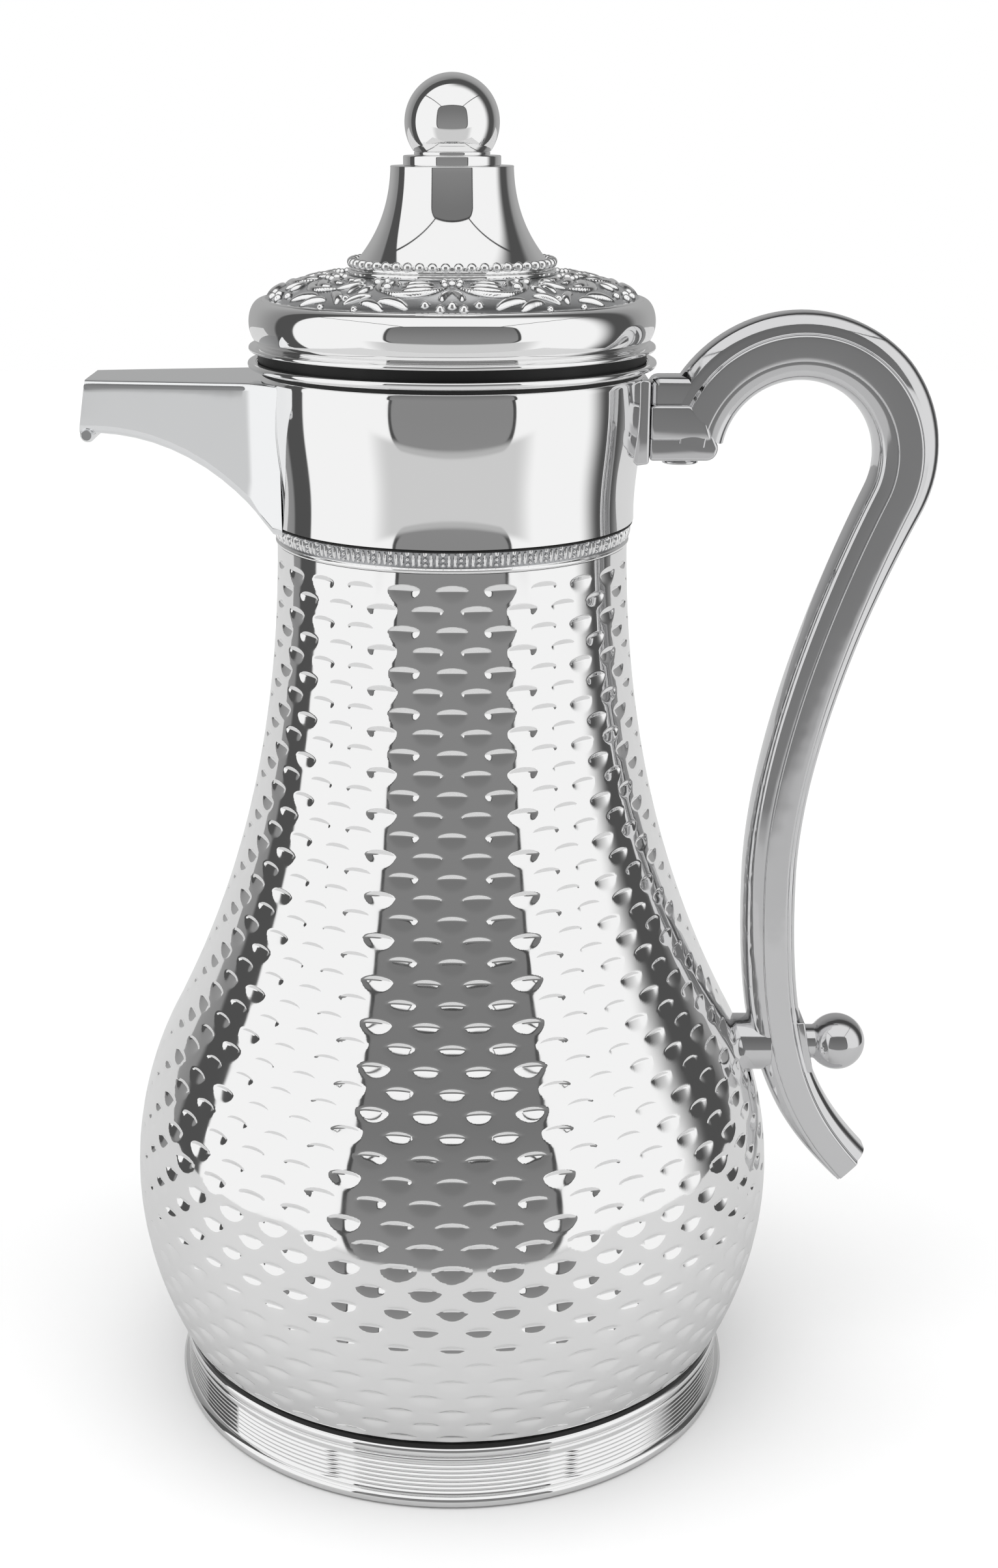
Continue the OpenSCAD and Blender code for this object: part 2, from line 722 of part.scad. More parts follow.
module ball_nut() {
    x0 = saddle_seat_x + saddle_t;
    color(chrome) difference() {
        union() {
            x_rod(4.3, x0 - 1, x0 + 4, stud_z);
            translate([x0 + 0.5 + knob_r, 0, stud_z]) sphere(r = knob_r);
        }
        x_rod(stud_r, 0, x0 + 6, stud_z);
        saddle_block(saddle_t, spine_w, 14);
    }
}

// ---------------------------------------------------------------- lid

crown_seat_r = rim_c_r + 2;

module lid_rim() {
    flat_r = rim_c_r - 4;
    tor_z = lid_z + lip_t + rim_bulge - 0.3;
    color(chrome) rotate_extrude() difference() {
        union() {
            intersection() {
                difference() {
                    translate([rim_c_r, tor_z]) circle(r = rim_bulge, $fn = 64);
                    translate([rim_c_r, tor_z]) circle(r = rim_bulge - lid_wall, $fn = 64);
                }
                translate([rim_c_r - 1.2, 0]) square([rim_bulge * 2, crown_z + 5]);
            }
            translate([flat_r, lid_z]) square([ring_r - 0.3 - flat_r, lip_t]);
        }
        translate([0, lid_z - 1]) square([skirt_in_r + fit_gap, 20]);
        translate([0, tor_z + 1]) square([crown_seat_r + eps, 20]);
    }
}

skirt_in_r = rim_c_r - 3;

module lid_crown() {
    outer = bez([[crown_seat_r, crown_z - 0.2], [rim_c_r - 1, crown_z + 0.58 * crown_rise],
        [rim_c_r - 9, ledge_z - 0.7], [bell_foot_r, ledge_z]], 12);
    color(chrome) turned(concat(outer, reversed([for (p = outer) p - [0.3, lid_wall]])));
}

bell_curve = bez([[bell_foot_r - 1.4, bell_z + 0.5], [bell_foot_r - 4.4, bell_z + 4.5],
    [bell_top_r + 0.4, bell_z + 11.2], [bell_top_r, bell_top_z]], 14);

module lid_bell() {
    inner = [for (p = bell_curve) p - [lid_wall, 0]];
    color(chrome) difference() {
        union() {
            turned(concat(bell_curve, reversed(inner)));
            tube(bell_top_r - 0.2, 2.2, bell_top_z - lid_wall, bell_top_z);
            tube(bell_foot_r + 0.6, bell_foot_r - 3, ledge_z, bell_z);
            tube(bell_foot_r - 1, bell_foot_r - 2.6, bell_z - eps, bell_z + 0.5);
        }
        translate([0, 0, bell_z]) cylinder(r = 2, h = 1);
    }
}

module bead_ring() {
    ring_mid = bell_foot_r - 0.5;
    color(chrome) {
        tube(ring_mid + 0.7, bell_foot_r - 1 + eps, bell_z, bell_z + 1.2);
        for (i = [0 : bead_count - 1]) rotate(i * 360 / bead_count)
            translate([ring_mid + 0.15, 0, bell_z + 1.5]) sphere(r = bead_r, $fn = 24);
    }
}

tie_r = 2;
tie_depth = 7;

module finial_disc() {
    color(chrome) tube(bell_top_r - 2.85, tie_r + fit_gap, bell_top_z, ball_seat_z);
}

module finial_ball() {
    color(chrome) difference() {
        union() {
            translate([0, 0, ball_z]) sphere(r = ball_r);
            translate([0, 0, ball_seat_z]) cylinder(r = ball_neck_r, h = ball_neck_h);
        }
        translate([0, 0, ball_seat_z - ball_r]) cylinder(r = ball_r, h = ball_r);
        translate([0, 0, ball_seat_z - 1]) cylinder(r = tie_r, h = 1 + tie_depth + 1);
    }
}

spigot_r = cup_r - 1.2;
spigot_z = cup_floor_z + 1.2;
skirt_low_z = seat_z - 0.6;
throat_top_z = ring_z - 0.8;
gasket_h = 1.6;

module lid_skirt() {
    outer = rim_in_r - 0.3;
    color(black_plastic) {
        tube(outer, spigot_r - 3, skirt_low_z, lid_z);
        tube(skirt_in_r, skirt_in_r - 2, lid_z - eps, crown_z - 2);
        tube(ring_bore - seal_gap, spigot_r - 3, throat_top_z + gasket_h + 0.1, skirt_low_z + eps);
        tube(spigot_r, spigot_r - 3, spigot_z, skirt_low_z + eps);
        // a lip that the gasket can't slip off over
        tube(cup_r - 0.4, spigot_r - 1, spigot_z, spigot_z + 0.8);
        tube(spigot_r - 3 + eps, tie_r + fit_gap, spigot_z + 2, spigot_z + 4.4);
    }
}

// The gasket lies on the throat's rim, and the lip above picks it up with the lid
module lid_gasket() {
    color(silicone) tube(ring_bore - seal_gap, spigot_r + seal_gap, throat_top_z,
        throat_top_z + gasket_h);
}

plug_r = throat_r - 1.6 - thread_gap;
seat_top_z = throat_floor_z + 4;
seal_z = seat_top_z + seal_gap + seal_wire_r;
cap_flange_h = 2.4;
plug_low_z = seal_z + 1.9;
plug_wall = 2;
plug_top_z = spigot_z + 2;
core_r = plug_r - 4.5;
seal_r = seat_r + 3.5;

module stopper_body() {
    color(black_plastic) difference() {
        union() {
            tube(plug_r, core_r - plug_wall, thread_z - 2, plug_top_z);
            tube(core_r, core_r - plug_wall, plug_low_z, thread_z - 2 + eps);
            tube(core_r - plug_wall + eps, 6, plug_top_z - 2.4, plug_top_z);
            thread(plug_r - 0.6, 1.2, thread_z);
        }
    }
}

module stopper_foam() {
    color(foam) tube(core_r - plug_wall - fit_gap, tie_r + fit_gap + 3, plug_low_z + 3.2,
        plug_top_z - 8);
}

module stopper_cap() {
    color(black_plastic) difference() {
        union() {
            tube(core_r, tie_r + fit_gap, plug_low_z - cap_flange_h, plug_low_z);
            tube(core_r - plug_wall - fit_gap, tie_r + fit_gap, plug_low_z - eps, plug_low_z + 3);
        }
        o_ring(seal_r, seal_wire_r + seal_gap, seal_z);
    }
}

module stopper_seal() {
    color(silicone) o_ring(seal_r, seal_wire_r, seal_z);
}

module tie_bolt() {
    head_z = plug_top_z - 7;
    color(steel) {
        translate([0, 0, head_z + 4]) cylinder(r = tie_r, h = ball_seat_z + tie_depth - head_z - 4);
        translate([0, 0, head_z]) cylinder(r = 4, h = 4, $fn = 6);
    }
}

module tie_washer() {
    color(steel) tube(9, tie_r + 0.1, plug_top_z - 3 + 0.01, plug_top_z - 2.4);
}

body_shell();
foot_ring();
base_cup();
base_cap();
base_screws();
tail_cushion();
liner_outer();
liner_inner();
liner_pads();
mouth_gasket();
ornament_band();
collar();
neck_ring();
throat();
throat_clamp();
spout();
spout_duct();
spout_gasket();
handle_socket();
socket_nut();
handle_shell();
handle_cover();
handle_screw();
screw_plug();
lower_boss();
stud_plate();
lower_stud();
saddle_plate();
ball_nut();
lid_rim();
lid_crown();
lid_bell();
bead_ring();
finial_disc();
finial_ball();
lid_skirt();
lid_gasket();
stopper_body();
stopper_foam();
stopper_cap();
stopper_seal();
tie_bolt();
tie_washer();
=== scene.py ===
import math

import bmesh
import bpy
import numpy as np
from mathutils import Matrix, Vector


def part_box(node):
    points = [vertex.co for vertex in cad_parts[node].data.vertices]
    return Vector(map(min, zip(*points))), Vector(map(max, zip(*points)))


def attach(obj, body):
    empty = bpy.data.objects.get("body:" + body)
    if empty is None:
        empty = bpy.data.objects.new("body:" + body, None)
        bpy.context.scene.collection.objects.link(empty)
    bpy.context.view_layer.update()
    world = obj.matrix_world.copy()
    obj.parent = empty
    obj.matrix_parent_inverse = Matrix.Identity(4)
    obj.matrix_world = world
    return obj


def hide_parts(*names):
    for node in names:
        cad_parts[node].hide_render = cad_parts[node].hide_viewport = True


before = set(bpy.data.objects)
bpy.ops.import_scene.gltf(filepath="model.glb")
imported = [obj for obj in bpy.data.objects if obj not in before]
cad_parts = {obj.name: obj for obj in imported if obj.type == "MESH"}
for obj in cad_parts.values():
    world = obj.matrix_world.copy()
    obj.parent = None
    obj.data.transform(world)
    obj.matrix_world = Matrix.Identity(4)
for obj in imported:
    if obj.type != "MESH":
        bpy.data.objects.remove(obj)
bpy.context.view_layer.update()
scene = bpy.context.scene

# ------------------------------------------------------------------ the camera
# The pot stands with its spout to the left and its handle to the right. The eye
# is half a metre in front of its axis, level with the finial, looking down.
EYE_DISTANCE = 0.500
EYE_HEIGHT = 0.3134
PITCH_DOWN = 17.47
camera_data = bpy.data.cameras.new("camera")
camera_data.sensor_width = 36
camera_data.lens = 49.45
camera_data.shift_x = 0.0299
camera_data.clip_start = 0.01
camera = bpy.data.objects.new("camera", camera_data)
camera.location = (0, -EYE_DISTANCE, EYE_HEIGHT)
camera.rotation_euler = (math.radians(90 - PITCH_DOWN), 0, 0)
scene.collection.objects.link(camera)
scene.camera = camera
scene.view_settings.view_transform = "Standard"


# ------------------------------------------------------------------ the studio
# A small light tent: white panels left, right and above, a grey opening in front
# that the lens looks through, dark gaps at the back edges, and a pale table.
def colour(sheet):
    """An sRGB hex colour as linear red, green, blue and alpha."""
    parts = [int(sheet[i:i + 2], 16) / 255 for i in (1, 3, 5)]
    return [c / 12.92 if c <= 0.04045 else ((c + 0.055) / 1.055) ** 2.4 for c in parts] + [1.0]


def fill(node, **links):
    """Gives a node's sockets their values, or links them to other sockets."""
    for name, value in links.items():
        numbered = name[0] == "n" and name[1:].isdigit()
        socket = node.inputs[int(name[1:]) if numbered else name.replace("_", " ")]
        if isinstance(value, bpy.types.NodeSocket):
            node.id_data.links.new(value, socket)
        else:
            socket.default_value = value


def add_node(tree, kind, settings=None, **links):
    """Adds one node. Settings are its own properties, links are what its sockets get."""
    node = tree.nodes.new(kind)
    for name, value in (settings or {}).items():
        setattr(node, name, value)
    fill(node, **links)
    return node


def spread(tree, value, low, high, start=0.0, end=1.0):
    """Stretches a value's run from start to end over low to high."""
    return add_node(tree, "ShaderNodeMapRange", Value=value, From_Min=start, From_Max=end,
                    To_Min=low, To_Max=high).outputs[0]


def mixed(tree, share, first, second):
    """Two hex colours, mixed by a value."""
    return add_node(tree, "ShaderNodeMix", {"data_type": "RGBA"}, Factor=share,
                    n6=colour(first), n7=colour(second)).outputs[2]


def finish_of(name):
    """A new empty material, its node tree, and its principled shader."""
    material = bpy.data.materials.new(name)
    material.use_nodes = True
    return material, material.node_tree, material.node_tree.nodes["Principled BSDF"]


tent = bpy.data.worlds.new("light_tent")
tent.use_nodes = True
sky = tent.node_tree
sky.nodes.clear()
toward = add_node(sky, "ShaderNodeTexCoord").outputs["Generated"]
split = add_node(sky, "ShaderNodeSeparateXYZ", Vector=toward)
across, along, up = split.outputs


def figure(operation, a, b=0.0):
    """One sum on the directions that the tent's panels are laid out by."""
    return add_node(sky, "ShaderNodeMath", {"operation": operation}, n0=a, n1=b).outputs[0]


def ramp(value, low, high):
    """0 below low, 1 above high, smooth between."""
    return add_node(sky, "ShaderNodeMapRange", {"interpolation_type": "SMOOTHSTEP"},
                    Value=value, From_Min=low, From_Max=high, To_Min=0.0, To_Max=1.0).outputs[0]


def between(share, low, high):
    """From low to high as the share goes from 0 to 1."""
    return spread(sky, share, low, high)


# The opening's sizes are slopes from the pot: sideways or up, over forward.
OPENING_HALF_WIDTH = 0.56
OPENING_HALF_HEIGHT = 0.36
OPENING_MIDDLE = 0.265
GAP_TONE = 0.07
reach = figure("MAXIMUM", figure("MULTIPLY", along, -1.0), 0.001)
side = figure("DIVIDE", figure("ABSOLUTE", across), reach)
height = figure("DIVIDE", up, reach)
# the opening in front, a rectangle with round corners
over_x = figure("MAXIMUM", figure("SUBTRACT", side, OPENING_HALF_WIDTH), 0.0)
middle_high = figure("ABSOLUTE", figure("SUBTRACT", height, OPENING_MIDDLE))
over_z = figure("MAXIMUM", figure("SUBTRACT", middle_high, OPENING_HALF_HEIGHT), 0.0)
outside = figure("SQRT", figure("ADD", figure("MULTIPLY", over_x, over_x),
                                figure("MULTIPLY", over_z, over_z)))
past_opening = ramp(outside, 0.165, 0.185)
past_frame = ramp(outside, 0.215, 0.235)
opening_tone = between(ramp(height, -0.3, 0.7), 0.27, 0.19)
opening_or_frame = between(past_opening, 1.0, 0.0)
# the seam where the side panels meet the top one
seam = figure("SUBTRACT", figure("ABSOLUTE", across),
              figure("ADD", figure("MULTIPLY", up, 0.99), figure("MULTIPLY", along, 0.24)))
off_seam = ramp(figure("ABSOLUTE", seam), 0.010, 0.022)
below_opening = figure("MULTIPLY", ramp(figure("MULTIPLY", height, -1.0), 0.24, 0.30),
                       figure("SUBTRACT", 1.0, ramp(side, 0.75, 1.3)))
panel_tone = figure("MULTIPLY", between(off_seam, GAP_TONE, 1.0), between(below_opening, 1.0, 0.66))
front_tone = figure("ADD", figure("MULTIPLY", opening_or_frame, opening_tone),
                    figure("MULTIPLY", past_opening,
                           figure("MULTIPLY", past_frame, panel_tone)))
frame_dark = figure("MULTIPLY", figure("SUBTRACT", 1.0, past_frame),
                    between(below_opening, GAP_TONE, 0.5))
front_tone = figure("ADD", front_tone, figure("MULTIPLY", past_opening, frame_dark))
# the dark back edges, and the pale wall behind them
right_side = ramp(across, -0.2, 0.2)
edge_start = ramp(along, 0.14, 0.17)
edge_soft = ramp(along, -0.08, 0.24)
into_edge = figure("ADD", figure("MULTIPLY", edge_start, figure("SUBTRACT", 1.0, right_side)),
                   figure("MULTIPLY", edge_soft, right_side))
past_edge = figure("ADD", figure("MULTIPLY", ramp(along, 0.42, 0.47),
                                 figure("SUBTRACT", 1.0, right_side)),
                   figure("MULTIPLY", ramp(along, 0.44, 0.60), right_side))
wall_tone = between(ramp(along, 0.42, 0.90), 0.26, 0.42)
tone = figure("ADD", figure("MULTIPLY", front_tone, figure("SUBTRACT", 1.0, into_edge)),
              figure("MULTIPLY", into_edge,
                     figure("ADD", figure("MULTIPLY", past_edge, wall_tone),
                            figure("MULTIPLY", figure("SUBTRACT", 1.0, past_edge), 0.085))))
seen = add_node(sky, "ShaderNodeLightPath").outputs["Is Camera Ray"]
lit = add_node(sky, "ShaderNodeBackground", Color=tone)
backdrop = add_node(sky, "ShaderNodeBackground", Color=colour("#FFFFFF"), Strength=1.0)
both = add_node(sky, "ShaderNodeMixShader", n0=seen, n1=lit.outputs[0], n2=backdrop.outputs[0])
add_node(sky, "ShaderNodeOutputWorld", Surface=both.outputs[0])
scene.world = tent

table_mesh = bpy.data.meshes.new("table")
table_mesh.from_pydata(
    [(-0.42, -0.31, 0), (0.42, -0.31, 0), (0.42, 0.15, 0), (2.6, 2.2, 0), (-2.6, 2.2, 0),
     (-0.42, 0.15, 0)], [], [(0, 1, 2, 3, 4, 5)])
table = bpy.data.objects.new("table", table_mesh)
scene.collection.objects.link(table)
# White laminate, matt and faintly shiny. The camera sees it paler than the chrome does.
laminate, tree, shader = finish_of("white_laminate")
first_seen = add_node(tree, "ShaderNodeLightPath").outputs["Is Camera Ray"]
fill(shader, Base_Color=mixed(tree, first_seen, "#D4D4D4", "#FFFFFF"), Roughness=0.6,
     Specular_IOR_Level=0.2)
table_mesh.materials.append(laminate)

overhead_data = bpy.data.lights.new("overhead", "SUN")
overhead_data.angle = math.radians(80)
overhead_data.energy = 1.7
overhead = bpy.data.objects.new("overhead", overhead_data)
overhead.location = (0, 0, 2)
overhead.visible_glossy = False
scene.collection.objects.link(overhead)


# ------------------------------------------------------------------ the hammered shell
# One pear-shaped sheet, about 0.8 mm thick, hydroformed in a mould that presses a
# brick pattern of small dents into it. A steep wall meets a shallow one in each dent.
MM = 0.001
SHELL_SHEET = 0.8
FOOT_SEAT_R = 68.9
BELLY_PULL = (90.45, 40.9)
HIP = (69.6, 81.3)
NECK_R = 40.9
NECK_TUBE_R = 39.9
SHELL_FLANGE = 7.0
SHELL_COLUMNS = 640

shell_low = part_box("body_shell")[0].z / MM
shell_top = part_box("body_shell")[1].z / MM
band_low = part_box("ornament_band")[0].z / MM


def cubic(points, steps):
    """Points along a Bezier curve with four controls."""
    t = np.linspace(0, 1, steps + 1)[:, None]
    a, b, c, d = (np.array(p, float) for p in points)
    return (1 - t) ** 3 * a + 3 * t * (1 - t) ** 2 * b + 3 * t * t * (1 - t) * c + t ** 3 * d


def set_in_place(name, points, faces, body, stands_for, material, sharp=35):
    """Makes one closed mesh from millimetre points, and gives it its body and finish."""
    mesh = bpy.data.meshes.new(name)
    mesh.from_pydata((np.asarray(points, float) * MM).tolist(), [], np.asarray(faces).tolist()
                     if isinstance(faces, np.ndarray) else faces)
    work = bmesh.new()
    work.from_mesh(mesh)
    bmesh.ops.remove_doubles(work, verts=work.verts, dist=2e-6)
    bmesh.ops.dissolve_degenerate(work, edges=work.edges, dist=1e-7)
    bmesh.ops.recalc_face_normals(work, faces=work.faces)
    work.to_mesh(mesh)
    work.free()
    mesh.shade_smooth()
    mesh.set_sharp_from_angle(angle=math.radians(sharp))
    piece = bpy.data.objects.new(name, mesh)
    scene.collection.objects.link(piece)
    mesh.materials.append(material)
    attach(piece, body)
    if stands_for:
        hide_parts(*stands_for)
    return piece


def ring_faces(rows, columns, close_rows=True):
    """Four-sided faces over a grid that closes on itself round the axis."""
    r = np.arange(rows if close_rows else rows - 1)
    c = np.arange(columns)
    r, c = np.meshgrid(r, c, indexing="ij")
    r2, c2 = (r + 1) % rows, (c + 1) % columns
    return np.stack([r * columns + c, r * columns + c2, r2 * columns + c2,
                     r2 * columns + c], -1).reshape(-1, 4)


def round_the_axis(radii, heights, angles):
    """Points of a grid: each row has a radius at every angle and one height, or several."""
    radii = np.asarray(radii, float)
    heights = np.broadcast_to(np.asarray(heights, float), radii.shape)
    return np.stack([radii * np.sin(angles), -radii * np.cos(angles), heights], -1).reshape(-1, 3)


NOISE_SPAN = (0.3, 0.7)    # nearly all of a noise's values lie between these


def noise(tree, place, scale, detail, roughness=0.5):
    """A noise value over a piece, with its scale in cycles to a metre."""
    return add_node(tree, "ShaderNodeTexNoise", Vector=place, Scale=scale, Detail=detail,
                    Roughness=roughness).outputs[0]


def bumped(tree, value, strength, distance):
    """A normal that follows a value, with the distance in metres."""
    return add_node(tree, "ShaderNodeBump", Height=value, Strength=strength,
                    Distance=distance).outputs[0]


def object_place(tree):
    """Where a point lies on its own piece."""
    return add_node(tree, "ShaderNodeTexCoord").outputs["Object"]


def chromed(name, sheet, haze, gloss, wave, ripple):
    """Chrome plate: a haze noise spreads the gloss, and a wave noise ripples the sheet."""
    material, tree, shader = finish_of(name)
    place = object_place(tree)
    roughness = spread(tree, noise(tree, place, *haze), *gloss, *NOISE_SPAN)
    normal = bumped(tree, noise(tree, place, *wave), *ripple)
    fill(shader, Base_Color=colour(sheet), Metallic=1.0, Roughness=roughness, Normal=normal)
    return material


# Chrome plate on pressed brass: a cool, near-white mirror with the faint haze of
# buffing, and the slow waviness that pressing leaves in the sheet.
pressed_chrome = chromed("pressed_brass_chrome_plated", "#F2F2F2", haze=(90.0, 4.0, 0.6),
                         gloss=(0.025, 0.075), wave=(160.0, 1.0), ripple=(0.25, 0.00008))

outline = np.vstack([
    cubic([(FOOT_SEAT_R, shell_low), (BELLY_PULL[0], shell_low + BELLY_PULL[1]),
           (HIP[0] + 3.2, shell_low + HIP[1] - 6.2), (HIP[0], shell_low + HIP[1])], 400),
    cubic([(HIP[0], shell_low + HIP[1]), (HIP[0] - 16.4, shell_low + HIP[1] + 31.7),
           (NECK_R + 0.6, band_low - 49.5), (NECK_R, band_low)], 400)[1:]])[::-1]
# the sheet tucks in where it drops into the foot ring
tuck = np.clip((shell_low + 2.4 - outline[:, 1]) / 1.4, 0, 1)
outline[:, 0] -= 1.2 * tuck * tuck * (3 - 2 * tuck)
run = np.concatenate([[0], np.cumsum(np.hypot(*np.diff(outline, axis=0).T))])

DENT_HALF_WIDTH = 3.25
DENT_STEEP = 1.25      # height of the steep upper wall
DENT_SHALLOW = 2.7     # height of the shallow lower wall
DENT_DEPTH = 0.56      # a quarter more on the belly
FIRST_DENT = 3.9       # below the band
# one crease for each row of dents
creases = [FIRST_DENT]
while creases[-1] < run[-1] - 7.0:
    here = np.interp(creases[-1], run, outline[:, 0])
    creases.append(creases[-1] + 4.55 + 0.38 * min(1, (here - NECK_R) / 30))
steps_round_crease = [-1.5, -1.3, -1.1, -0.85, -0.55, -0.25, 0.0, 0.25, 0.6, 1.05, 1.55, 2.1, 2.6]
levels = sorted({0.0, 1.0, 2.0, run[-1] - 2.2, run[-1] - 1.6, run[-1] - 1.1, run[-1] - 0.6, run[-1]}
                | {round(c + s, 4) for c in creases for s in steps_round_crease})
levels = np.array([v for v in levels if 0 <= v <= run[-1]])

angles = np.linspace(-math.pi, math.pi, SHELL_COLUMNS, endpoint=False)
# the mould has two halves, so the pattern is laid out from the front and from the back
from_middle = np.where(np.abs(angles) <= math.pi / 2, angles,
                       np.sign(angles) * (math.pi - np.abs(angles)))
radius = np.interp(levels, run, outline[:, 0])
drop = np.interp(levels, run, outline[:, 1])
slope = np.gradient(outline, axis=0)
slope /= np.hypot(*slope.T)[:, None]
inward_r = -np.abs(np.interp(levels, run, slope[:, 1]))
slope_r = np.interp(levels, run, slope[:, 0])
depth = np.zeros((len(levels), SHELL_COLUMNS))
for k, crease in enumerate(creases):
    r_here = np.interp(crease, run, outline[:, 0])
    spacing = (10.6 + 1.6 * min(1, (r_here - NECK_R) / 34)) / r_here
    dent_depth = DENT_DEPTH * (1 + 0.25 * min(1, (r_here - NECK_R) / 34))
    shift = 0.5 * (k % 2)
    index = np.round(from_middle / spacing - shift)
    middle = (index + shift) * spacing
    u = (from_middle - middle) * r_here / DENT_HALF_WIDTH
    lens = np.sqrt(np.clip(1 - u * u, 0, 1)) * (np.abs(middle) < math.pi / 2 - 0.3 * spacing)
    lens = np.maximum(lens, 1e-6)
    below = levels - crease
    for i in np.where((below > -DENT_STEEP) & (below < DENT_SHALLOW))[0]:
        if below[i] <= 0:
            fall = np.clip(1 + below[i] / (DENT_STEEP * lens), 0, 1)
        else:
            fall = np.clip(1 - below[i] / (DENT_SHALLOW * lens), 0, 1) ** 1.4
        depth[i] = np.maximum(depth[i], dent_depth * lens ** 0.8 * fall)
dented_r = radius[:, None] + depth * inward_r[:, None]
dented_z = drop[:, None] + depth * slope_r[:, None]

hidden_outer = [(NECK_TUBE_R, shell_top), (NECK_TUBE_R, band_low)]
inner_r = np.interp(np.linspace(0, run[-1], 40), run, outline[:, 0]) - SHELL_SHEET
inner_z = np.interp(np.linspace(0, run[-1], 40), run, outline[:, 1])
inner = [(NECK_TUBE_R - SHELL_SHEET, shell_top), (NECK_TUBE_R - SHELL_SHEET, band_low - 2)]
inner += [(r, z) for r, z in zip(inner_r[1:-1], inner_z[1:-1])]
inner += [(FOOT_SEAT_R - 1.2 - SHELL_SHEET, shell_low + SHELL_SHEET),
          (FOOT_SEAT_R - SHELL_FLANGE, shell_low + SHELL_SHEET),
          (FOOT_SEAT_R - SHELL_FLANGE, shell_low)]
plain = np.array(hidden_outer[::-1] + inner)
grid_r = np.vstack([dented_r[::-1], np.repeat(plain[:, :1], SHELL_COLUMNS, 1)])
grid_z = np.vstack([dented_z[::-1], np.repeat(plain[:, 1:], SHELL_COLUMNS, 1)])
set_in_place("hammered_shell", round_the_axis(grid_r, grid_z, angles),
             ring_faces(len(grid_r), SHELL_COLUMNS), "flask",
             ["body_shell"], pressed_chrome, sharp=50)


# ------------------------------------------------------------------ the foot ring
# A spun brass ring that the pot stands on: a bead at the top, a smaller one under
# it, seven fine turned grooves, and a heavier bead on the table.
# Chrome plate on turned brass: a clear mirror with fine lathe marks round it.
turned_chrome = chromed("turned_brass_chrome_plated", "#F2F2F2", haze=(70.0, 5.0, 0.65),
                        gloss=(0.02, 0.06), wave=(55.0, 1.5), ripple=(0.06, 0.0001))


def eased(corners, steps=5):
    """A closed outline whose corners are rounded: each is (r, z) or (r, z, rounding)."""
    out = []
    for i, corner in enumerate(corners):
        here = np.array(corner[:2], float)
        if len(corner) < 3:
            out.append(here)
            continue
        before = np.array(corners[i - 1][:2], float) - here
        after = np.array(corners[(i + 1) % len(corners)][:2], float) - here
        size = min(corner[2], 0.49 * np.hypot(*before), 0.49 * np.hypot(*after))
        a = here + before / np.hypot(*before) * size
        b = here + after / np.hypot(*after) * size
        for t in np.linspace(0, 1, steps + 1):
            out.append((1 - t) ** 2 * a + 2 * t * (1 - t) * here + t * t * b)
    return np.array(out)


def bow(centre, r, start, end, steps=10):
    """Corners along part of a circle, from one angle to another in degrees."""
    a = np.radians(np.linspace(start, end, steps + 1))
    return [(centre[0] + r * math.cos(x), centre[1] + r * math.sin(x)) for x in a]


def turned(name, corners, body, stands_for, material, columns=288, sharp=35):
    """A piece turned round the pot's axis from its closed outline."""
    section = eased(corners)
    turn = np.linspace(-math.pi, math.pi, columns, endpoint=False)
    grid = np.repeat(section[:, :1], columns, 1)
    points = round_the_axis(grid, section[:, 1:], turn)
    return set_in_place(name, points, ring_faces(len(section), columns), body, stands_for,
                        material, sharp)


FOOT_R = 70.4
foot_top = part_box("foot_ring")[1].z / MM
LOW_BEAD = 1.6
TOP_BEAD = 1.4
SMALL_BEAD = 0.7
GROOVED_R = 68.9
foot_outline = [(66.7, 0), (FOOT_R - LOW_BEAD, 0)]
foot_outline += bow((FOOT_R - LOW_BEAD, LOW_BEAD), LOW_BEAD, -85, 82)
for groove in range(7):
    z = 3.9 + 1.17 * groove
    foot_outline += [(GROOVED_R, z - 0.40, 0.08), (GROOVED_R - 0.42, z, 0.08),
                     (GROOVED_R, z + 0.40, 0.08)]
foot_outline += bow((GROOVED_R - 0.4, foot_top - 3.6), SMALL_BEAD, -55, 75, 8)
foot_outline += bow((FOOT_R - 0.8 - TOP_BEAD, foot_top - TOP_BEAD), TOP_BEAD, -68, 100, 12)
foot_outline += [(67.5, foot_top), (64.9, foot_top), (64.9, foot_top - 1.2),
                 (30.2, foot_top - 1.2, 0.4), (30.2, foot_top - 3.6, 0.4), (66.7, foot_top - 3.6)]
turned("foot", foot_outline, "flask", ["foot_ring"], turned_chrome, 360)


# ------------------------------------------------------------------ the ornament band
# A rolled strip soldered round the foot of the collar. Upright ovals stand between
# columns of three dots, with a plain rim below.
BAND_MOTIFS = 66
COLUMNS_PER_MOTIF = 24
band_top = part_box("ornament_band")[1].z / MM
band_z = np.concatenate([[band_low], np.linspace(band_low + 0.1, band_top - 0.1, 44), [band_top]])
band_r = np.interp(band_z - band_low, [0, 0.15, 0.5, 0.85, 1.2, 2.4, 3.6, 4.6, 5.0, 5.2],
                   [40.7, 41.05, 41.3, 41.3, 40.95, 40.95, 41.1, 41.3, 41.95, 41.8])
turn = np.linspace(-math.pi, math.pi, BAND_MOTIFS * COLUMNS_PER_MOTIF, endpoint=False)
pitch = 2 * math.pi * 41.7 / BAND_MOTIFS
where = ((turn / (2 * math.pi) * BAND_MOTIFS + 0.5) % 1 - 0.5) * pitch
height_in_band = band_z - band_low
lift = np.zeros((len(band_z), len(turn)))
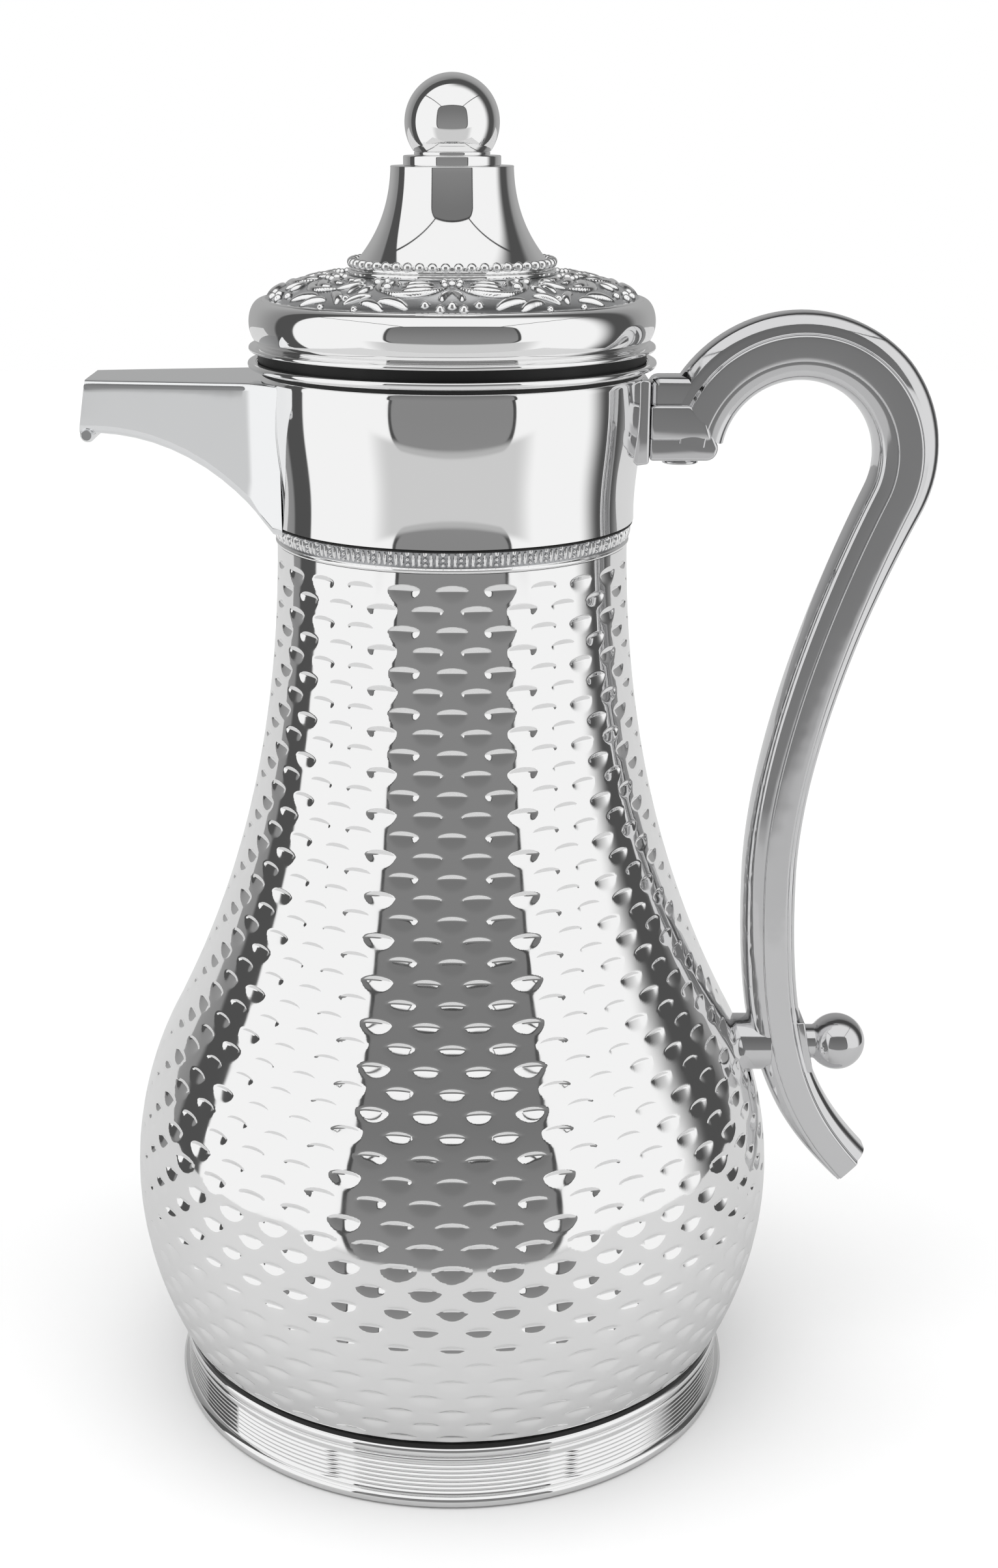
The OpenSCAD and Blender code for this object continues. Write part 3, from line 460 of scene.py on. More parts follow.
# each figure: share of a pitch, height, half width, half height, rise
for offset, z_mid, half_w, half_h, rise in (
        (-0.17, 3.0, 0.42, 1.45, 0.62), (0.17, 3.0, 0.42, 1.45, 0.62),
        (0.5, 4.30, 0.52, 0.52, 0.60), (0.5, 3.10, 0.46, 0.46, 0.55),
        (0.5, 1.98, 0.40, 0.40, 0.50)):
    away = (where - offset * pitch + pitch / 2) % pitch - pitch / 2
    inside = 1 - (away[None, :] / half_w) ** 2 - ((height_in_band[:, None] - z_mid) / half_h) ** 2
    lift = np.maximum(lift, rise * np.sqrt(np.clip(inside, 0, 1)))
hem = np.array([(40.1, band_top), (40.1, band_low)])
grid_r = np.vstack([band_r[:, None] + lift, np.repeat(hem[:, :1], len(turn), 1)])
grid_z = np.vstack([np.repeat(band_z[:, None], len(turn), 1), np.repeat(hem[:, 1:], len(turn), 1)])
# Chrome plate on rolled brass: bright on the raised figures, and rougher in the
# ground between them, where polish hardly reaches. The ground's darker colour is painted shade.
rolled_chrome, tree, shader = finish_of("rolled_brass_chrome_plated")
raised = add_node(tree, "ShaderNodeAttribute", {"attribute_name": "relief"}).outputs["Fac"]
proud = spread(tree, raised, 0.0, 1.0, 0.05, 0.30)
# The grey end of this mix is painted shade in the recessed ground.
fill(shader, Metallic=1.0, Base_Color=mixed(tree, proud, "#AEAFB1", "#F4F4F4"),
     Roughness=spread(tree, proud, 0.28, 0.05))


def where_points_are(piece):
    """The distance from the axis and the height of each point of a piece, in millimetres."""
    places = np.zeros(len(piece.data.vertices) * 3)
    piece.data.vertices.foreach_get("co", places)
    places = places.reshape(-1, 3) / MM
    return np.hypot(places[:, 0], places[:, 1]), places[:, 2]


band = set_in_place("band", round_the_axis(grid_r, grid_z, turn),
                    ring_faces(len(grid_r), len(turn)), "flask",
                    ["ornament_band"], rolled_chrome, sharp=60)
out, high_up = where_points_are(band)
plain_rim = (high_up < band_low + 1.25) | (high_up > band_top - 0.45)
stands = np.where(plain_rim, 1.0, out - np.interp(high_up, band_z, band_r))
band.data.attributes.new("relief", "FLOAT", "POINT").data.foreach_set(
    "value", stands.clip(0, 1).astype(np.float32))


# ------------------------------------------------------------------ the collar and neck ring
# The collar is a smooth, slightly waisted tube that carries the spout and handle.
# A cast ring with a rounded lip closes it at the top and seats the lid.
collar_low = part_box("collar")[0].z / MM
collar_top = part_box("collar")[1].z / MM
COLLAR_WALL = 1.2
collar_curve = [(42.28, collar_low + 0.35), (42.29, collar_low + 3.5), (42.40, collar_low + 7.0),
                (42.85, collar_low + 11.5), (43.5, collar_low + 17.5), (43.95, collar_low + 23.5),
                (44.03, collar_low + 29.0), (44.05, collar_top - 0.5)]
knots = np.array(collar_curve)
fine_z = np.linspace(knots[0, 1], knots[-1, 1], 40)
smooth_r = np.polyval(np.polyfit(knots[:, 1] - 240, knots[:, 0], 5), fine_z - 240)
collar_outline = [(41.9, collar_low, 0.2)] + list(zip(smooth_r, fine_z))
collar_outline += [(43.8, collar_top, 0.2), (42.8, collar_top), (41.1, collar_low)]
turned("collar_tube", collar_outline, "flask", ["collar"], turned_chrome)

ring_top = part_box("neck_ring")[1].z / MM
ring_low = ring_top - 2.0
ring_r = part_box("neck_ring")[1].x / MM
turned("neck_ring_lip",
       [(41.9, ring_low - 0.8), (42.5, ring_low - 0.8), (42.5, ring_low, 0.1),
        (44.6, ring_low, 0.3), (ring_r, ring_low + 0.7, 0.7), (ring_r, ring_top, 0.7),
        (44.8, ring_top, 0.3), (44.8, ring_top - 1.0, 0.1), (41.9, ring_top - 1.0, 0.1)],
       "flask", ["neck_ring"], turned_chrome)


# ------------------------------------------------------------------ painted shade in the joints
# Thin rings of near-black painted shade lie in the joints, standing for the shadow in
# each gap: where the shell drops into the foot, under the collar's lower edge, and under the neck
# ring's lip.
painted_shade, tree, shader = finish_of("painted_joint_shade")
mottle = noise(tree, object_place(tree), 400.0, 3.0)
# Near-black with a faint mottle: the painted shade of the gaps.
fill(shader, Roughness=0.6, Base_Color=mixed(tree, mottle, "#0C0C0C", "#1C1C1C"))
for name, shade_outer, shade_low, shade_high in (
        ("foot_joint_shade", 69.0, shell_low - 0.4, shell_low + 0.9),
        ("collar_joint_shade", 42.12, collar_low - 0.35, collar_low + 0.05),
        ("ring_joint_shade", 43.75, ring_low - 0.8, ring_low)):
    turned(name, [(shade_outer - 1.2, shade_low), (shade_outer, shade_low, 0.1),
                  (shade_outer, shade_high, 0.1), (shade_outer - 1.2, shade_high)],
           "flask", [], painted_shade)


# ------------------------------------------------------------------ the spout
# A beak folded from sheet and soldered to the collar over a saddle flange. It is open
# at the tip, with a rolled drip lip under the mouth.
spout_low_corner, spout_high_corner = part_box("spout")
TIP_X = spout_low_corner.x / MM
SPOUT_TOP = spout_high_corner.z / MM
TIP_HALF = 10.5
ROOT_HALF = 16.5
SPOUT_WALL = 1.3
MOUTH_DEPTH = 12.3
SIDE_LEAN = 0.11
DRIP_R = 1.75
DRIP_RINGS = 12
DRIP_SIDES = 24


def beak_section(x, half, top, low, ease_top, ease_low):
    """One ring of the beak across X: a rounded box whose sides lean in towards the bottom."""
    under_half = half - SIDE_LEAN * (top - low)
    box = [(-half, top, ease_top), (-under_half, low, ease_low), (under_half, low, ease_low),
           (half, top, ease_top)]
    ring = eased(box, 6)
    sides = []
    for i in range(len(ring)):
        a, b = ring[i], ring[(i + 1) % len(ring)]
        parts = 6 if np.hypot(*(b - a)) > 2 else 1
        sides += [a + (b - a) * j / parts for j in range(parts)]
    return [(x, p[0], p[1]) for p in sides]


under = cubic([(TIP_X + 2.7, SPOUT_TOP - MOUTH_DEPTH), (TIP_X + 19, SPOUT_TOP - 12.1),
               (-52, SPOUT_TOP - 19.5), (-41.2, collar_low - 1.6)], 60)
stations = [-84.9, -84.0, -82.0, -79.5, -76, -72, -68, -64, -60, -56, -52.5, -49.5, -47, -45,
            -43, -40.8, -38.5]
outer_rings, inner_rings = [], []
for x in stations:
    share = (x - TIP_X) / (-43.3 - TIP_X)
    half = TIP_HALF + (ROOT_HALF - TIP_HALF) * max(0, share)
    flare = max(0.0, (x + 46.5) / 8.0) ** 1.6 * 4.2
    low = np.interp(x, under[:, 0], under[:, 1]) if x > TIP_X + 2.7 else SPOUT_TOP - MOUTH_DEPTH
    outer_rings.append(beak_section(x, half + flare, SPOUT_TOP, low, 1.7, 2.6))
    inner_rings.append(beak_section(x, half - SPOUT_WALL, SPOUT_TOP - SPOUT_WALL,
                                    low + SPOUT_WALL + 0.2, 0.9, 1.6))
# the mouth leans back at the top
for rings in (outer_rings, inner_rings):
    for n, ring in enumerate(rings[:5]):
        lean = 1 - n / 5.0
        rings[n] = [(x + lean * 2.1 * max(0.0, (z - SPOUT_TOP + MOUTH_DEPTH) / MOUTH_DEPTH), y, z)
                    for x, y, z in ring]
loops = outer_rings[::-1] + inner_rings[:-1]
points = np.array([p for ring in loops for p in ring])
count = len(loops[0])
faces = ring_faces(len(loops), count, close_rows=False).tolist()
faces.append(list(range(count)))
faces.append([(len(loops) - 1) * count + i for i in range(count)][::-1])
drip = []
for y in np.linspace(-TIP_HALF + 0.9, TIP_HALF - 0.9, DRIP_RINGS):
    for a in np.linspace(0, 2 * math.pi, DRIP_SIDES, endpoint=False):
        edge = 1 - 0.35 * max(0, abs(y) - (TIP_HALF - 2.2)) / 1.3
        drip.append((TIP_X + 1.9 + DRIP_R * edge * math.cos(a), y,
                     SPOUT_TOP - 12.6 + DRIP_R * edge * math.sin(a)))
base = len(points)
points = np.vstack([points, drip])
faces += (ring_faces(DRIP_RINGS, DRIP_SIDES, close_rows=False) + base).tolist()
faces.append([base + i for i in range(DRIP_SIDES)])
faces.append([base + (DRIP_RINGS - 1) * DRIP_SIDES + i for i in range(DRIP_SIDES)][::-1])

# Chrome plate on a folded and soldered sheet: as the turned pieces, a little softer
# over the hand-filed edges.
folded_chrome = chromed("folded_brass_chrome_plated", "#F0F1F2", haze=(60.0, 5.0, 0.6),
                        gloss=(0.05, 0.11), wave=(42.0, 1.0), ripple=(0.4, 0.0003))
set_in_place("spout_beak", points, faces, "flask", ["spout"], folded_chrome, 40)


# ------------------------------------------------------------------ the handle
# A hollow zinc casting in two halves: an outer shell with flat sides and a raised
# spine, and a rounded cover on the finger side. Its root is pinned in a socket.
ARCH_CENTRE = (80.0, 235.8)
ARCH_R = 26.0
FLAT_TOP = 2.3
FLAT_LOW = -3.6
HALF_W = 7.0
SPINE_HALF = 5.2

arch = np.array(bow(ARCH_CENTRE, ARCH_R, 172, -24, 60))
toe = arch[-1]
toe_way = np.array([math.sin(math.radians(-24)), -math.cos(math.radians(-24))])
waist = np.array([79.75, 132.3])
grip = cubic([toe, toe + 27.8 * toe_way, waist + (0, 30.2), waist], 60)
tail = cubic([waist, waist - (0, 47.2), (88.9, 69.6), (101.4, 55.2)], 60)
spine_line = np.vstack([arch, grip[1:], tail[1:]])
way = np.gradient(spine_line, axis=0)
way /= np.hypot(*way.T)[:, None]
outward = np.stack([-way[:, 1], way[:, 0]], 1)
length = np.concatenate([[0], np.cumsum(np.hypot(*np.diff(spine_line, axis=0).T))])
share = length / length[-1]
spine_height = np.interp(share, [0, 0.22, 0.32, 0.45, 0.60, 0.86, 0.94, 1.0],
                         [5.1, 5.0, 3.9, 2.9, 2.4, 2.4, 2.9, 3.3])
cover_low = np.interp(share, [0, 0.82, 0.92, 1.0], [-8.3, -8.3, -6.9, -5.3])
end_lean = np.clip((share - 0.93) / 0.07, 0, 1) ** 2 * 0.08


def swept(section_of, first, last):
    """Points and faces of a piece swept along the handle; each section is a list of (y, out)."""
    rings = []
    for i in range(first, last + 1):
        for y, out in section_of(i):
            spot = spine_line[i] + outward[i] * out - way[i] * out * end_lean[i]
            rings.append((spot[0], y, spot[1]))
    width = len(section_of(first))
    count = last - first + 1
    faces = ring_faces(count, width, close_rows=False).tolist()
    faces += [list(range(width))[::-1], [(count - 1) * width + i for i in range(width)]]
    return rings, faces


def shell_section(i):
    """The outer half across the handle: flat sides, then a step up to the spine."""
    top = FLAT_TOP + spine_height[i]
    right = [(HALF_W - 0.15, FLAT_LOW, 0.5), (HALF_W, -0.65, 2.5), (HALF_W - 0.12, FLAT_TOP, 0.9),
             (SPINE_HALF + 0.35, FLAT_TOP + 0.3, 0.3),
             (SPINE_HALF - 0.2, top - 0.45 * spine_height[i], 1.4),
             (SPINE_HALF - 2.2, top, 1.9)]
    return eased(right + [(-c[0], c[1], c[2]) for c in right[::-1]], 5)


def cover_section(i):
    """The inner half across the handle, rounded for the fingers."""
    mouth = FLAT_LOW + 0.5
    side = [(6.1, mouth), (6.2, FLAT_LOW - 0.7, 0.6), (5.4, cover_low[i] + 1.1, 2.2),
            (2.2, cover_low[i], 1.8)]
    return eased(side + [(-c[0], c[1], *c[2:]) for c in side[::-1]], 6)


def beveled_slab(outline, half, ease):
    """A slab with the outline in XZ and rounded edges, as points and faces."""
    work = bmesh.new()
    rim = [work.verts.new((x, -half, z)) for x, z in outline]
    face = work.faces.new(rim)
    grown = bmesh.ops.extrude_face_region(work, geom=[face])
    for v in grown["geom"]:
        if isinstance(v, bmesh.types.BMVert):
            v.co.y = half
    bmesh.ops.bevel(work, geom=work.edges[:] + work.verts[:], offset=ease, segments=4,
                    profile=0.5, affect="EDGES", clamp_overlap=True)
    work.verts.index_update()
    points = [tuple(v.co) for v in work.verts]
    faces = [[v.index for v in f.verts] for f in work.faces]
    work.free()
    return points, faces


def gathered(*parts):
    """Several closed shapes as one list of points and one of faces."""
    points, faces = [], []
    for some_points, some_faces in parts:
        start = len(points)
        points += [tuple(p) for p in some_points]
        faces += [[start + i for i in f] for f in some_faces]
    return points, faces


# Chrome plate on die-cast zinc: the same mirror, with the soft edges and the slight
# unevenness of a polished casting.
cast_chrome = chromed("cast_zinc_chrome_plated", "#D6D6D7", haze=(80.0, 5.0, 0.6),
                      gloss=(0.05, 0.12), wave=(60.0, 2.0), ripple=(0.45, 0.0003))

ROOT_X = 45.3
root_spine = beveled_slab([(ROOT_X, 244), (ROOT_X, 254.6), (55.6, 254.6), (58.5, 250), (58.5, 244)],
                          SPINE_HALF - 0.1, 2.2)
root_flats = beveled_slab([(ROOT_X, 240.4), (ROOT_X, 248.4), (54.4, 248.4), (58.4, 244.5),
                           (59.6, 240.4)], HALF_W - 0.03, 0.9)
root_heel = beveled_slab([(ROOT_X, 235.6), (ROOT_X, 242), (59.6, 242), (61.2, 238.6),
                          (60.6, 236.6), (59.2, 235.6)], 6.15, 2.0)
points, faces = gathered(swept(shell_section, 0, len(spine_line) - 1), root_spine, root_flats,
                         root_heel)
set_in_place("handle_outer", points, faces, "flask", ["handle_shell"],
             cast_chrome, 32)
points, faces = swept(cover_section, 1, len(spine_line) - 1)
set_in_place("handle_inner", points, faces, "flask", ["handle_cover"],
             cast_chrome, 32)


# ------------------------------------------------------------------ the handle's fixings
# A cast socket is nutted to the collar, and a plug hides the screw that pins the
# handle in it. Lower down a stud runs through boss, handle and saddle to a ball nut.
low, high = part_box("handle_socket")
points, faces = beveled_slab([(40.5, low.z / MM + 0.3), (45.1, low.z / MM + 0.9),
                              (45.1, high.z / MM - 0.9), (40.5, high.z / MM - 0.3)], 7.7, 0.7)
set_in_place("socket", points, faces, "flask", ["handle_socket"], cast_chrome, 32)


def turned_at(name, corners, spot, axis, stands_for, material, columns=96, sharp=35):
    """A small turned piece on its own axis: its outline is (radius, distance along the axis)."""
    section = eased(corners)
    turn = np.linspace(-math.pi, math.pi, columns, endpoint=False)
    points = round_the_axis(np.repeat(section[:, :1], columns, 1), section[:, 1:], turn)
    if axis == "x":
        points = points[:, [2, 0, 1]]
    points = points + np.array(spot, float)
    return set_in_place(name, points, ring_faces(len(section), columns), "flask",
                        stands_for, material, sharp)


low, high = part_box("screw_plug")
plug_x, plug_low = (low.x + high.x) / 2 / MM, low.z / MM
turned_at("plug", [(0, 0.35), (2.4, 0.3, 0.4), (2.9, 0, 0.3), (4.2, 0, 0.35), (4.2, 0.7, 0.1),
                   (3.5, 0.7), (3.5, 2.0), (0, 2.0)], (plug_x, 0, plug_low), "z",
          ["screw_plug"], cast_chrome, 64)
low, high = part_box("lower_boss")
stud_height = (low.z + high.z) / 2 / MM
boss_r = (high.z - low.z) / 2 / MM
turned_at("boss", [(0, -8), (boss_r, -8), (boss_r, high.x / MM - low.x / MM + 1.2, 0.5),
                   (0, high.x / MM - low.x / MM + 1.2)], (low.x / MM, 0, stud_height), "x",
          ["lower_boss"], cast_chrome)
SADDLE_T = 2.04
low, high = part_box("saddle_plate")
# the saddle lies along the handle's back, its top tipped towards the pot
points, faces = beveled_slab([(high.x / MM - SADDLE_T, low.z / MM), (high.x / MM, low.z / MM + 0.4),
                              (low.x / MM + SADDLE_T, high.z / MM),
                              (low.x / MM, high.z / MM - 0.4)],
                             high.y / MM, 0.5)
set_in_place("saddle", points, faces, "flask", ["saddle_plate"], cast_chrome, 32)
low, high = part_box("ball_nut")
nut_r = (high.z - low.z) / 2 / MM
nut_centre = (high.x - low.x) / MM - nut_r
ball = bow((0, nut_centre), nut_r, -50, 90, 40)
turned_at("knob", [(0, 0), (4.25, 0, 0.2), (4.25, nut_centre - 5.9, 0.4)] + ball,
          (low.x / MM, 0, stud_height), "x", ["ball_nut"], cast_chrome)


# ------------------------------------------------------------------ the lid's rim
# A spun ring with a flat lip under it and a full bulge above. The crown is pressed
# into its top edge.
rim_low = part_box("lid_rim")[0].z / MM
crown_low, crown_high = (corner.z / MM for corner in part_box("lid_crown"))
lip_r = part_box("lid_rim")[1].x / MM
bulge = [(43.3 + 2.95 * math.cos(math.radians(a)), rim_low + 6.2 + 5.0 * math.sin(math.radians(a)))
         for a in np.linspace(-66, 84, 30)]
turned("rim", [(38.6, rim_low), (lip_r, rim_low, 0.45), (lip_r, rim_low + 1.0, 0.45),
               (44.4, rim_low + 1.25, 0.2)] + bulge
       + [(42.9, rim_low + 10.6), (41.5, rim_low + 9.0), (41.0, rim_low + 2.2),
          (38.6, rim_low + 1.2)],
       "lid", ["lid_rim"], turned_chrome)


# ------------------------------------------------------------------ the embossed crown
# A pressed dome between rim and bell, with scrolls, leaves, ovals and dots standing
# up to a millimetre out of it. The same group repeats five times round the lid.
CROWN_GROUPS = 5
CROWN_COLUMNS = 1080
CROWN_ROWS = 92
CROWN_SHEET = 1.0
CROWN_SEAT_R = 43.2
BELL_FOOT_R = 23.0
dome = cubic([(CROWN_SEAT_R, crown_low + 0.8), (40.2, crown_low + 4.25), (32.2, crown_high - 0.7),
              (BELL_FOOT_R, crown_high)], 200)
along_dome = np.concatenate([[0], np.cumsum(np.hypot(*np.diff(dome, axis=0).T))])
marks = np.linspace(0, along_dome[-1], CROWN_ROWS)
dome_r = np.interp(marks, along_dome, dome[:, 0])
dome_z = np.interp(marks, along_dome, dome[:, 1])
tilt = np.stack([np.gradient(dome_r), np.gradient(dome_z)], 1)
tilt /= np.hypot(*tilt.T)[:, None]
out_r, out_z = tilt[:, 1], -tilt[:, 0]
# each scroll: three points as (thirtieths of half a group round the lid, radius), then its
# half width and its height
SCROLLS = [
    ([(2.2, 31.0), (10.5, 39.6), (21.5, 34.2)], 0.95, 0.95),
    ([(21.5, 34.2), (26.3, 31.2), (24.2, 28.0)], 0.95, 0.90),
    ([(24.2, 28.0), (20.5, 26.6), (19.3, 29.3)], 0.70, 0.80),
    ([(6.0, 30.6), (10.0, 34.2), (15.5, 33.2)], 1.15, 1.00),
    ([(7.0, 27.6), (11.0, 31.2), (16.5, 30.4)], 1.05, 0.95),
    ([(9.2, 25.5), (13.0, 28.2), (18.0, 27.2)], 0.95, 0.85),
    ([(11.5, 41.1), (15.5, 38.2), (19.5, 38.9)], 1.15, 0.95),
    ([(17.5, 41.9), (20.8, 39.4), (24.0, 39.9)], 0.95, 0.90),
    ([(23.5, 36.9), (27.0, 37.5), (28.6, 40.4)], 1.00, 0.95),
    ([(28.2, 35.8), (26.8, 33.2), (28.6, 30.6)], 0.85, 0.85),
    ([(0.0, 33.6), (3.2, 36.4), (2.6, 38.2)], 0.75, 0.85),
]
# each dot: thirtieths of half a group, radius, its own radius, height
DOTS = [(0.0, 40.2, 0.95, 1.0), (2.9, 41.2, 0.85, 0.95), (0.0, 27.0, 1.05, 1.0),
        (2.6, 28.6, 0.80, 0.9), (3.4, 25.6, 0.80, 0.9), (30.0, 27.4, 0.95, 1.0),
        (27.2, 26.0, 0.75, 0.9), (30.0, 38.6, 0.85, 0.9), (22.4, 30.7, 1.05, 1.0),
        (6.8, 40.0, 0.85, 0.9), (24.8, 41.9, 0.60, 0.8)]
turn = np.linspace(-math.pi, math.pi, CROWN_COLUMNS, endpoint=False)
half_group = math.pi / CROWN_GROUPS
folded = np.abs((turn + half_group) % (2 * half_group) - half_group)
one_side = np.unique(np.round(folded, 6), return_inverse=True)
flat_x = dome_r[:, None] * np.sin(one_side[0])[None, :]
flat_y = dome_r[:, None] * np.cos(one_side[0])[None, :]
relief = np.zeros(flat_x.shape)


def polar(share, r):
    """A place on the crown seen from above, from thirtieths of half a group and a radius."""
    a = share / 30 * half_group
    return np.array([r * math.sin(a), r * math.cos(a)])


for line, half, rise in SCROLLS:
    a, b, c = (polar(*p) for p in line)
    for t in np.linspace(0, 1, 25):
        spot = (1 - t) ** 2 * a + 2 * t * (1 - t) * b + t * t * c
        size = half * (1 - abs(2 * t - 1) ** 2.4 * 0.62)
        near = 1 - ((flat_x - spot[0]) ** 2 + (flat_y - spot[1]) ** 2) / size ** 2
        relief = np.maximum(relief, rise * size / half * np.sqrt(np.clip(near, 0, 1)))
for across_group, r, size, rise in DOTS:
    spot = polar(across_group, r)
    near = 1 - ((flat_x - spot[0]) ** 2 + (flat_y - spot[1]) ** 2) / size ** 2
    relief = np.maximum(relief, rise * np.sqrt(np.clip(near, 0, 1)))
relief = relief[:, one_side[1]]
edge_bead = 0.35 * np.sqrt(np.clip(1 - ((marks - 0.6) / 0.6) ** 2, 0, 1))
relief = np.maximum(relief, edge_bead[:, None])
grid_r = dome_r[:, None] + relief * out_r[:, None]
grid_z = dome_z[:, None] + relief * out_z[:, None]
under_dome = np.array([(dome_r[i] - 0.3, dome_z[i] - CROWN_SHEET)
                       for i in range(CROWN_ROWS - 1, -1, -13)])
grid_r = np.vstack([grid_r, np.repeat(under_dome[:, :1], CROWN_COLUMNS, 1)])
grid_z = np.vstack([grid_z, np.repeat(under_dome[:, 1:], CROWN_COLUMNS, 1)])

# Chrome plate on embossed brass: bright where the relief is polished, and a softer
# mirror in the ground that the mop can't reach. The ground's greyer colour is painted shade.
embossed_chrome, tree, shader = finish_of("embossed_brass_chrome_plated")
raised = add_node(tree, "ShaderNodeAttribute", {"attribute_name": "relief"}).outputs["Fac"]
proud = spread(tree, raised, 0.0, 1.0, 0.0, 0.35)
grain = noise(tree, object_place(tree), 900.0, 2.0)
# The grey end of this mix is painted shade in the recessed ground.
fill(shader, Metallic=1.0, Base_Color=mixed(tree, proud, "#CDCECF", "#F6F6F6"),
     Roughness=spread(tree, proud, 0.24, 0.05), Normal=bumped(tree, grain, 0.15, 0.00005))
crown = set_in_place("crown", round_the_axis(grid_r, grid_z, turn),
                     ring_faces(len(grid_r), CROWN_COLUMNS), "lid",
                     ["lid_crown"], embossed_chrome, sharp=70)
out, high_up = where_points_are(crown)
stands = (high_up - np.interp(out, dome_r[::-1], dome_z[::-1])).clip(0, 1.2)
crown.data.attributes.new("relief", "FLOAT", "POINT").data.foreach_set(
    "value", stands.astype(np.float32))


# ------------------------------------------------------------------ the bell and its beads
# A spun bell stands on a flat ledge, with a string of soldered beads round its foot.
bell_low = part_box("lid_bell")[0].z / MM
bell_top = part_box("lid_bell")[1].z / MM
ledge_top = bell_low + 1.1
BELL_TOP_R = 13.8
flank = cubic([(BELL_FOOT_R - 1.5, ledge_top + 1.9), (BELL_FOOT_R - 4.6, ledge_top + 5.6),
               (BELL_TOP_R + 0.4, ledge_top + 11.6), (BELL_TOP_R, bell_top - 0.5)], 40)
turned("bell", [(20.0, bell_low), (BELL_FOOT_R + 0.6, bell_low, 0.3),
                (BELL_FOOT_R + 0.6, ledge_top, 0.4), (BELL_FOOT_R - 1.2, ledge_top, 0.1)]
       + [tuple(p) for p in flank]
       + [(BELL_TOP_R + 0.05, bell_top, 0.4), (2.2, bell_top), (2.2, bell_top - 1.0),
          (BELL_TOP_R - 1.1, bell_top - 1.0)]
       + [(p[0] - 1.0, p[1]) for p in flank[::-4]] + [(20.0, ledge_top - 0.2)],
       "lid", ["lid_bell"], turned_chrome)

BEADS = 50
BEAD_R = 1.15
STRING_R = 22.65
bead_z = ledge_top + 1.5
one_bead = []
for v in np.linspace(-math.pi / 2, math.pi / 2, 13):
    for h in np.linspace(0, 2 * math.pi, 20, endpoint=False):
        one_bead.append((math.cos(v) * math.cos(h), math.cos(v) * math.sin(h), math.sin(v)))
one_bead = np.array(one_bead) * BEAD_R
bead_faces = ring_faces(13, 20, close_rows=False)
points, faces = [], []
for i in range(BEADS):
    a = 2 * math.pi * (i + 0.5) / BEADS
    points.append(one_bead + (STRING_R * math.sin(a), -STRING_R * math.cos(a), bead_z))
    faces.append(bead_faces + i * len(one_bead))
wire = eased([(22.02, ledge_top), (23.2, ledge_top, 0.3), (23.2, ledge_top + 0.9, 0.4),
              (22.02, ledge_top + 0.9)])
turn = np.linspace(-math.pi, math.pi, 200, endpoint=False)
start = BEADS * len(one_bead)
points.append(round_the_axis(np.repeat(wire[:, :1], 200, 1), wire[:, 1:], turn))
faces.append(ring_faces(len(wire), 200) + start)
set_in_place("beads", np.vstack(points), np.vstack(faces), "lid", ["bead_ring"],
             turned_chrome, 50)


# ------------------------------------------------------------------ the finial
# A flat disc and a turned ball, held down by the bolt that runs through the lid.
disc_low, disc_top = (corner.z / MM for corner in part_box("finial_disc"))
turned("disc", [(2.2, disc_low), (10.95, disc_low, 0.25), (10.95, disc_top, 0.35),
                (2.2, disc_top)], "lid", ["finial_disc"], turned_chrome, 200)
ball_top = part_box("finial_ball")[1].z / MM
BALL_R = 10.6
ball = bow((0, ball_top - BALL_R), BALL_R, -35.5, 90, 70)
turned("ball", [(2.0, disc_top), (8.5, disc_top, 0.25), (8.5, disc_top + 0.75, 0.3),
                (8.15, disc_top + 0.95)] + ball + [(0, disc_top + 9), (2.0, disc_top + 9)],
       "lid", ["finial_ball"], turned_chrome, 200, 25)


# ------------------------------------------------------------------ plastic inside the neck
# The throat, the duct to the spout and the base cup are moulded in white
# polypropylene; the lid's skirt, the stopper and the base cap in black.
def give(material, *nodes):
    """Carried-over CAD pieces take their finish."""
    for node in nodes:
        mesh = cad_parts[node].data
        mesh.materials.clear()
        mesh.materials.append(material)


black_pp, tree, shader = finish_of("moulded_black_polypropylene")
place = object_place(tree)
grain = noise(tree, place, 2200.0, 2.0)
wear = noise(tree, place, 60.0, 4.0)
fill(shader, Base_Color=colour("#070707"), IOR=1.49, Normal=bumped(tree, grain, 0.2, 0.00005),
     Roughness=spread(tree, wear, 0.45, 0.60, *NOISE_SPAN))
give(black_pp, "lid_skirt", "stopper_body", "stopper_cap", "base_cap", "throat_clamp")

white_pp, tree, shader = finish_of("moulded_white_polypropylene")
place = object_place(tree)
cloud = noise(tree, place, 45.0, 3.0)
grain = noise(tree, place, 1800.0, 2.0)
fill(shader, IOR=1.49, Roughness=0.42, Base_Color=mixed(tree, cloud, "#E9E8E2", "#DDDCD5"),
     Normal=bumped(tree, grain, 0.2, 0.00005))
give(white_pp, "throat", "spout_duct", "base_cup")


# ------------------------------------------------------------------ seals and cushions
# Silicone rings seal the lid, and moulded rubber holds the glass at its mouth,
# under its tail and round the pour duct.
silicone, tree, shader = finish_of("cast_silicone_rubber")
mottle = noise(tree, object_place(tree), 300.0, 3.0)
fill(shader, Base_Color=colour("#E6E8E9"), IOR=1.41, Subsurface_Weight=0.3,
     Subsurface_Scale=0.002, Roughness=spread(tree, mottle, 0.30, 0.45, *NOISE_SPAN))
give(silicone, "lid_gasket", "stopper_seal")

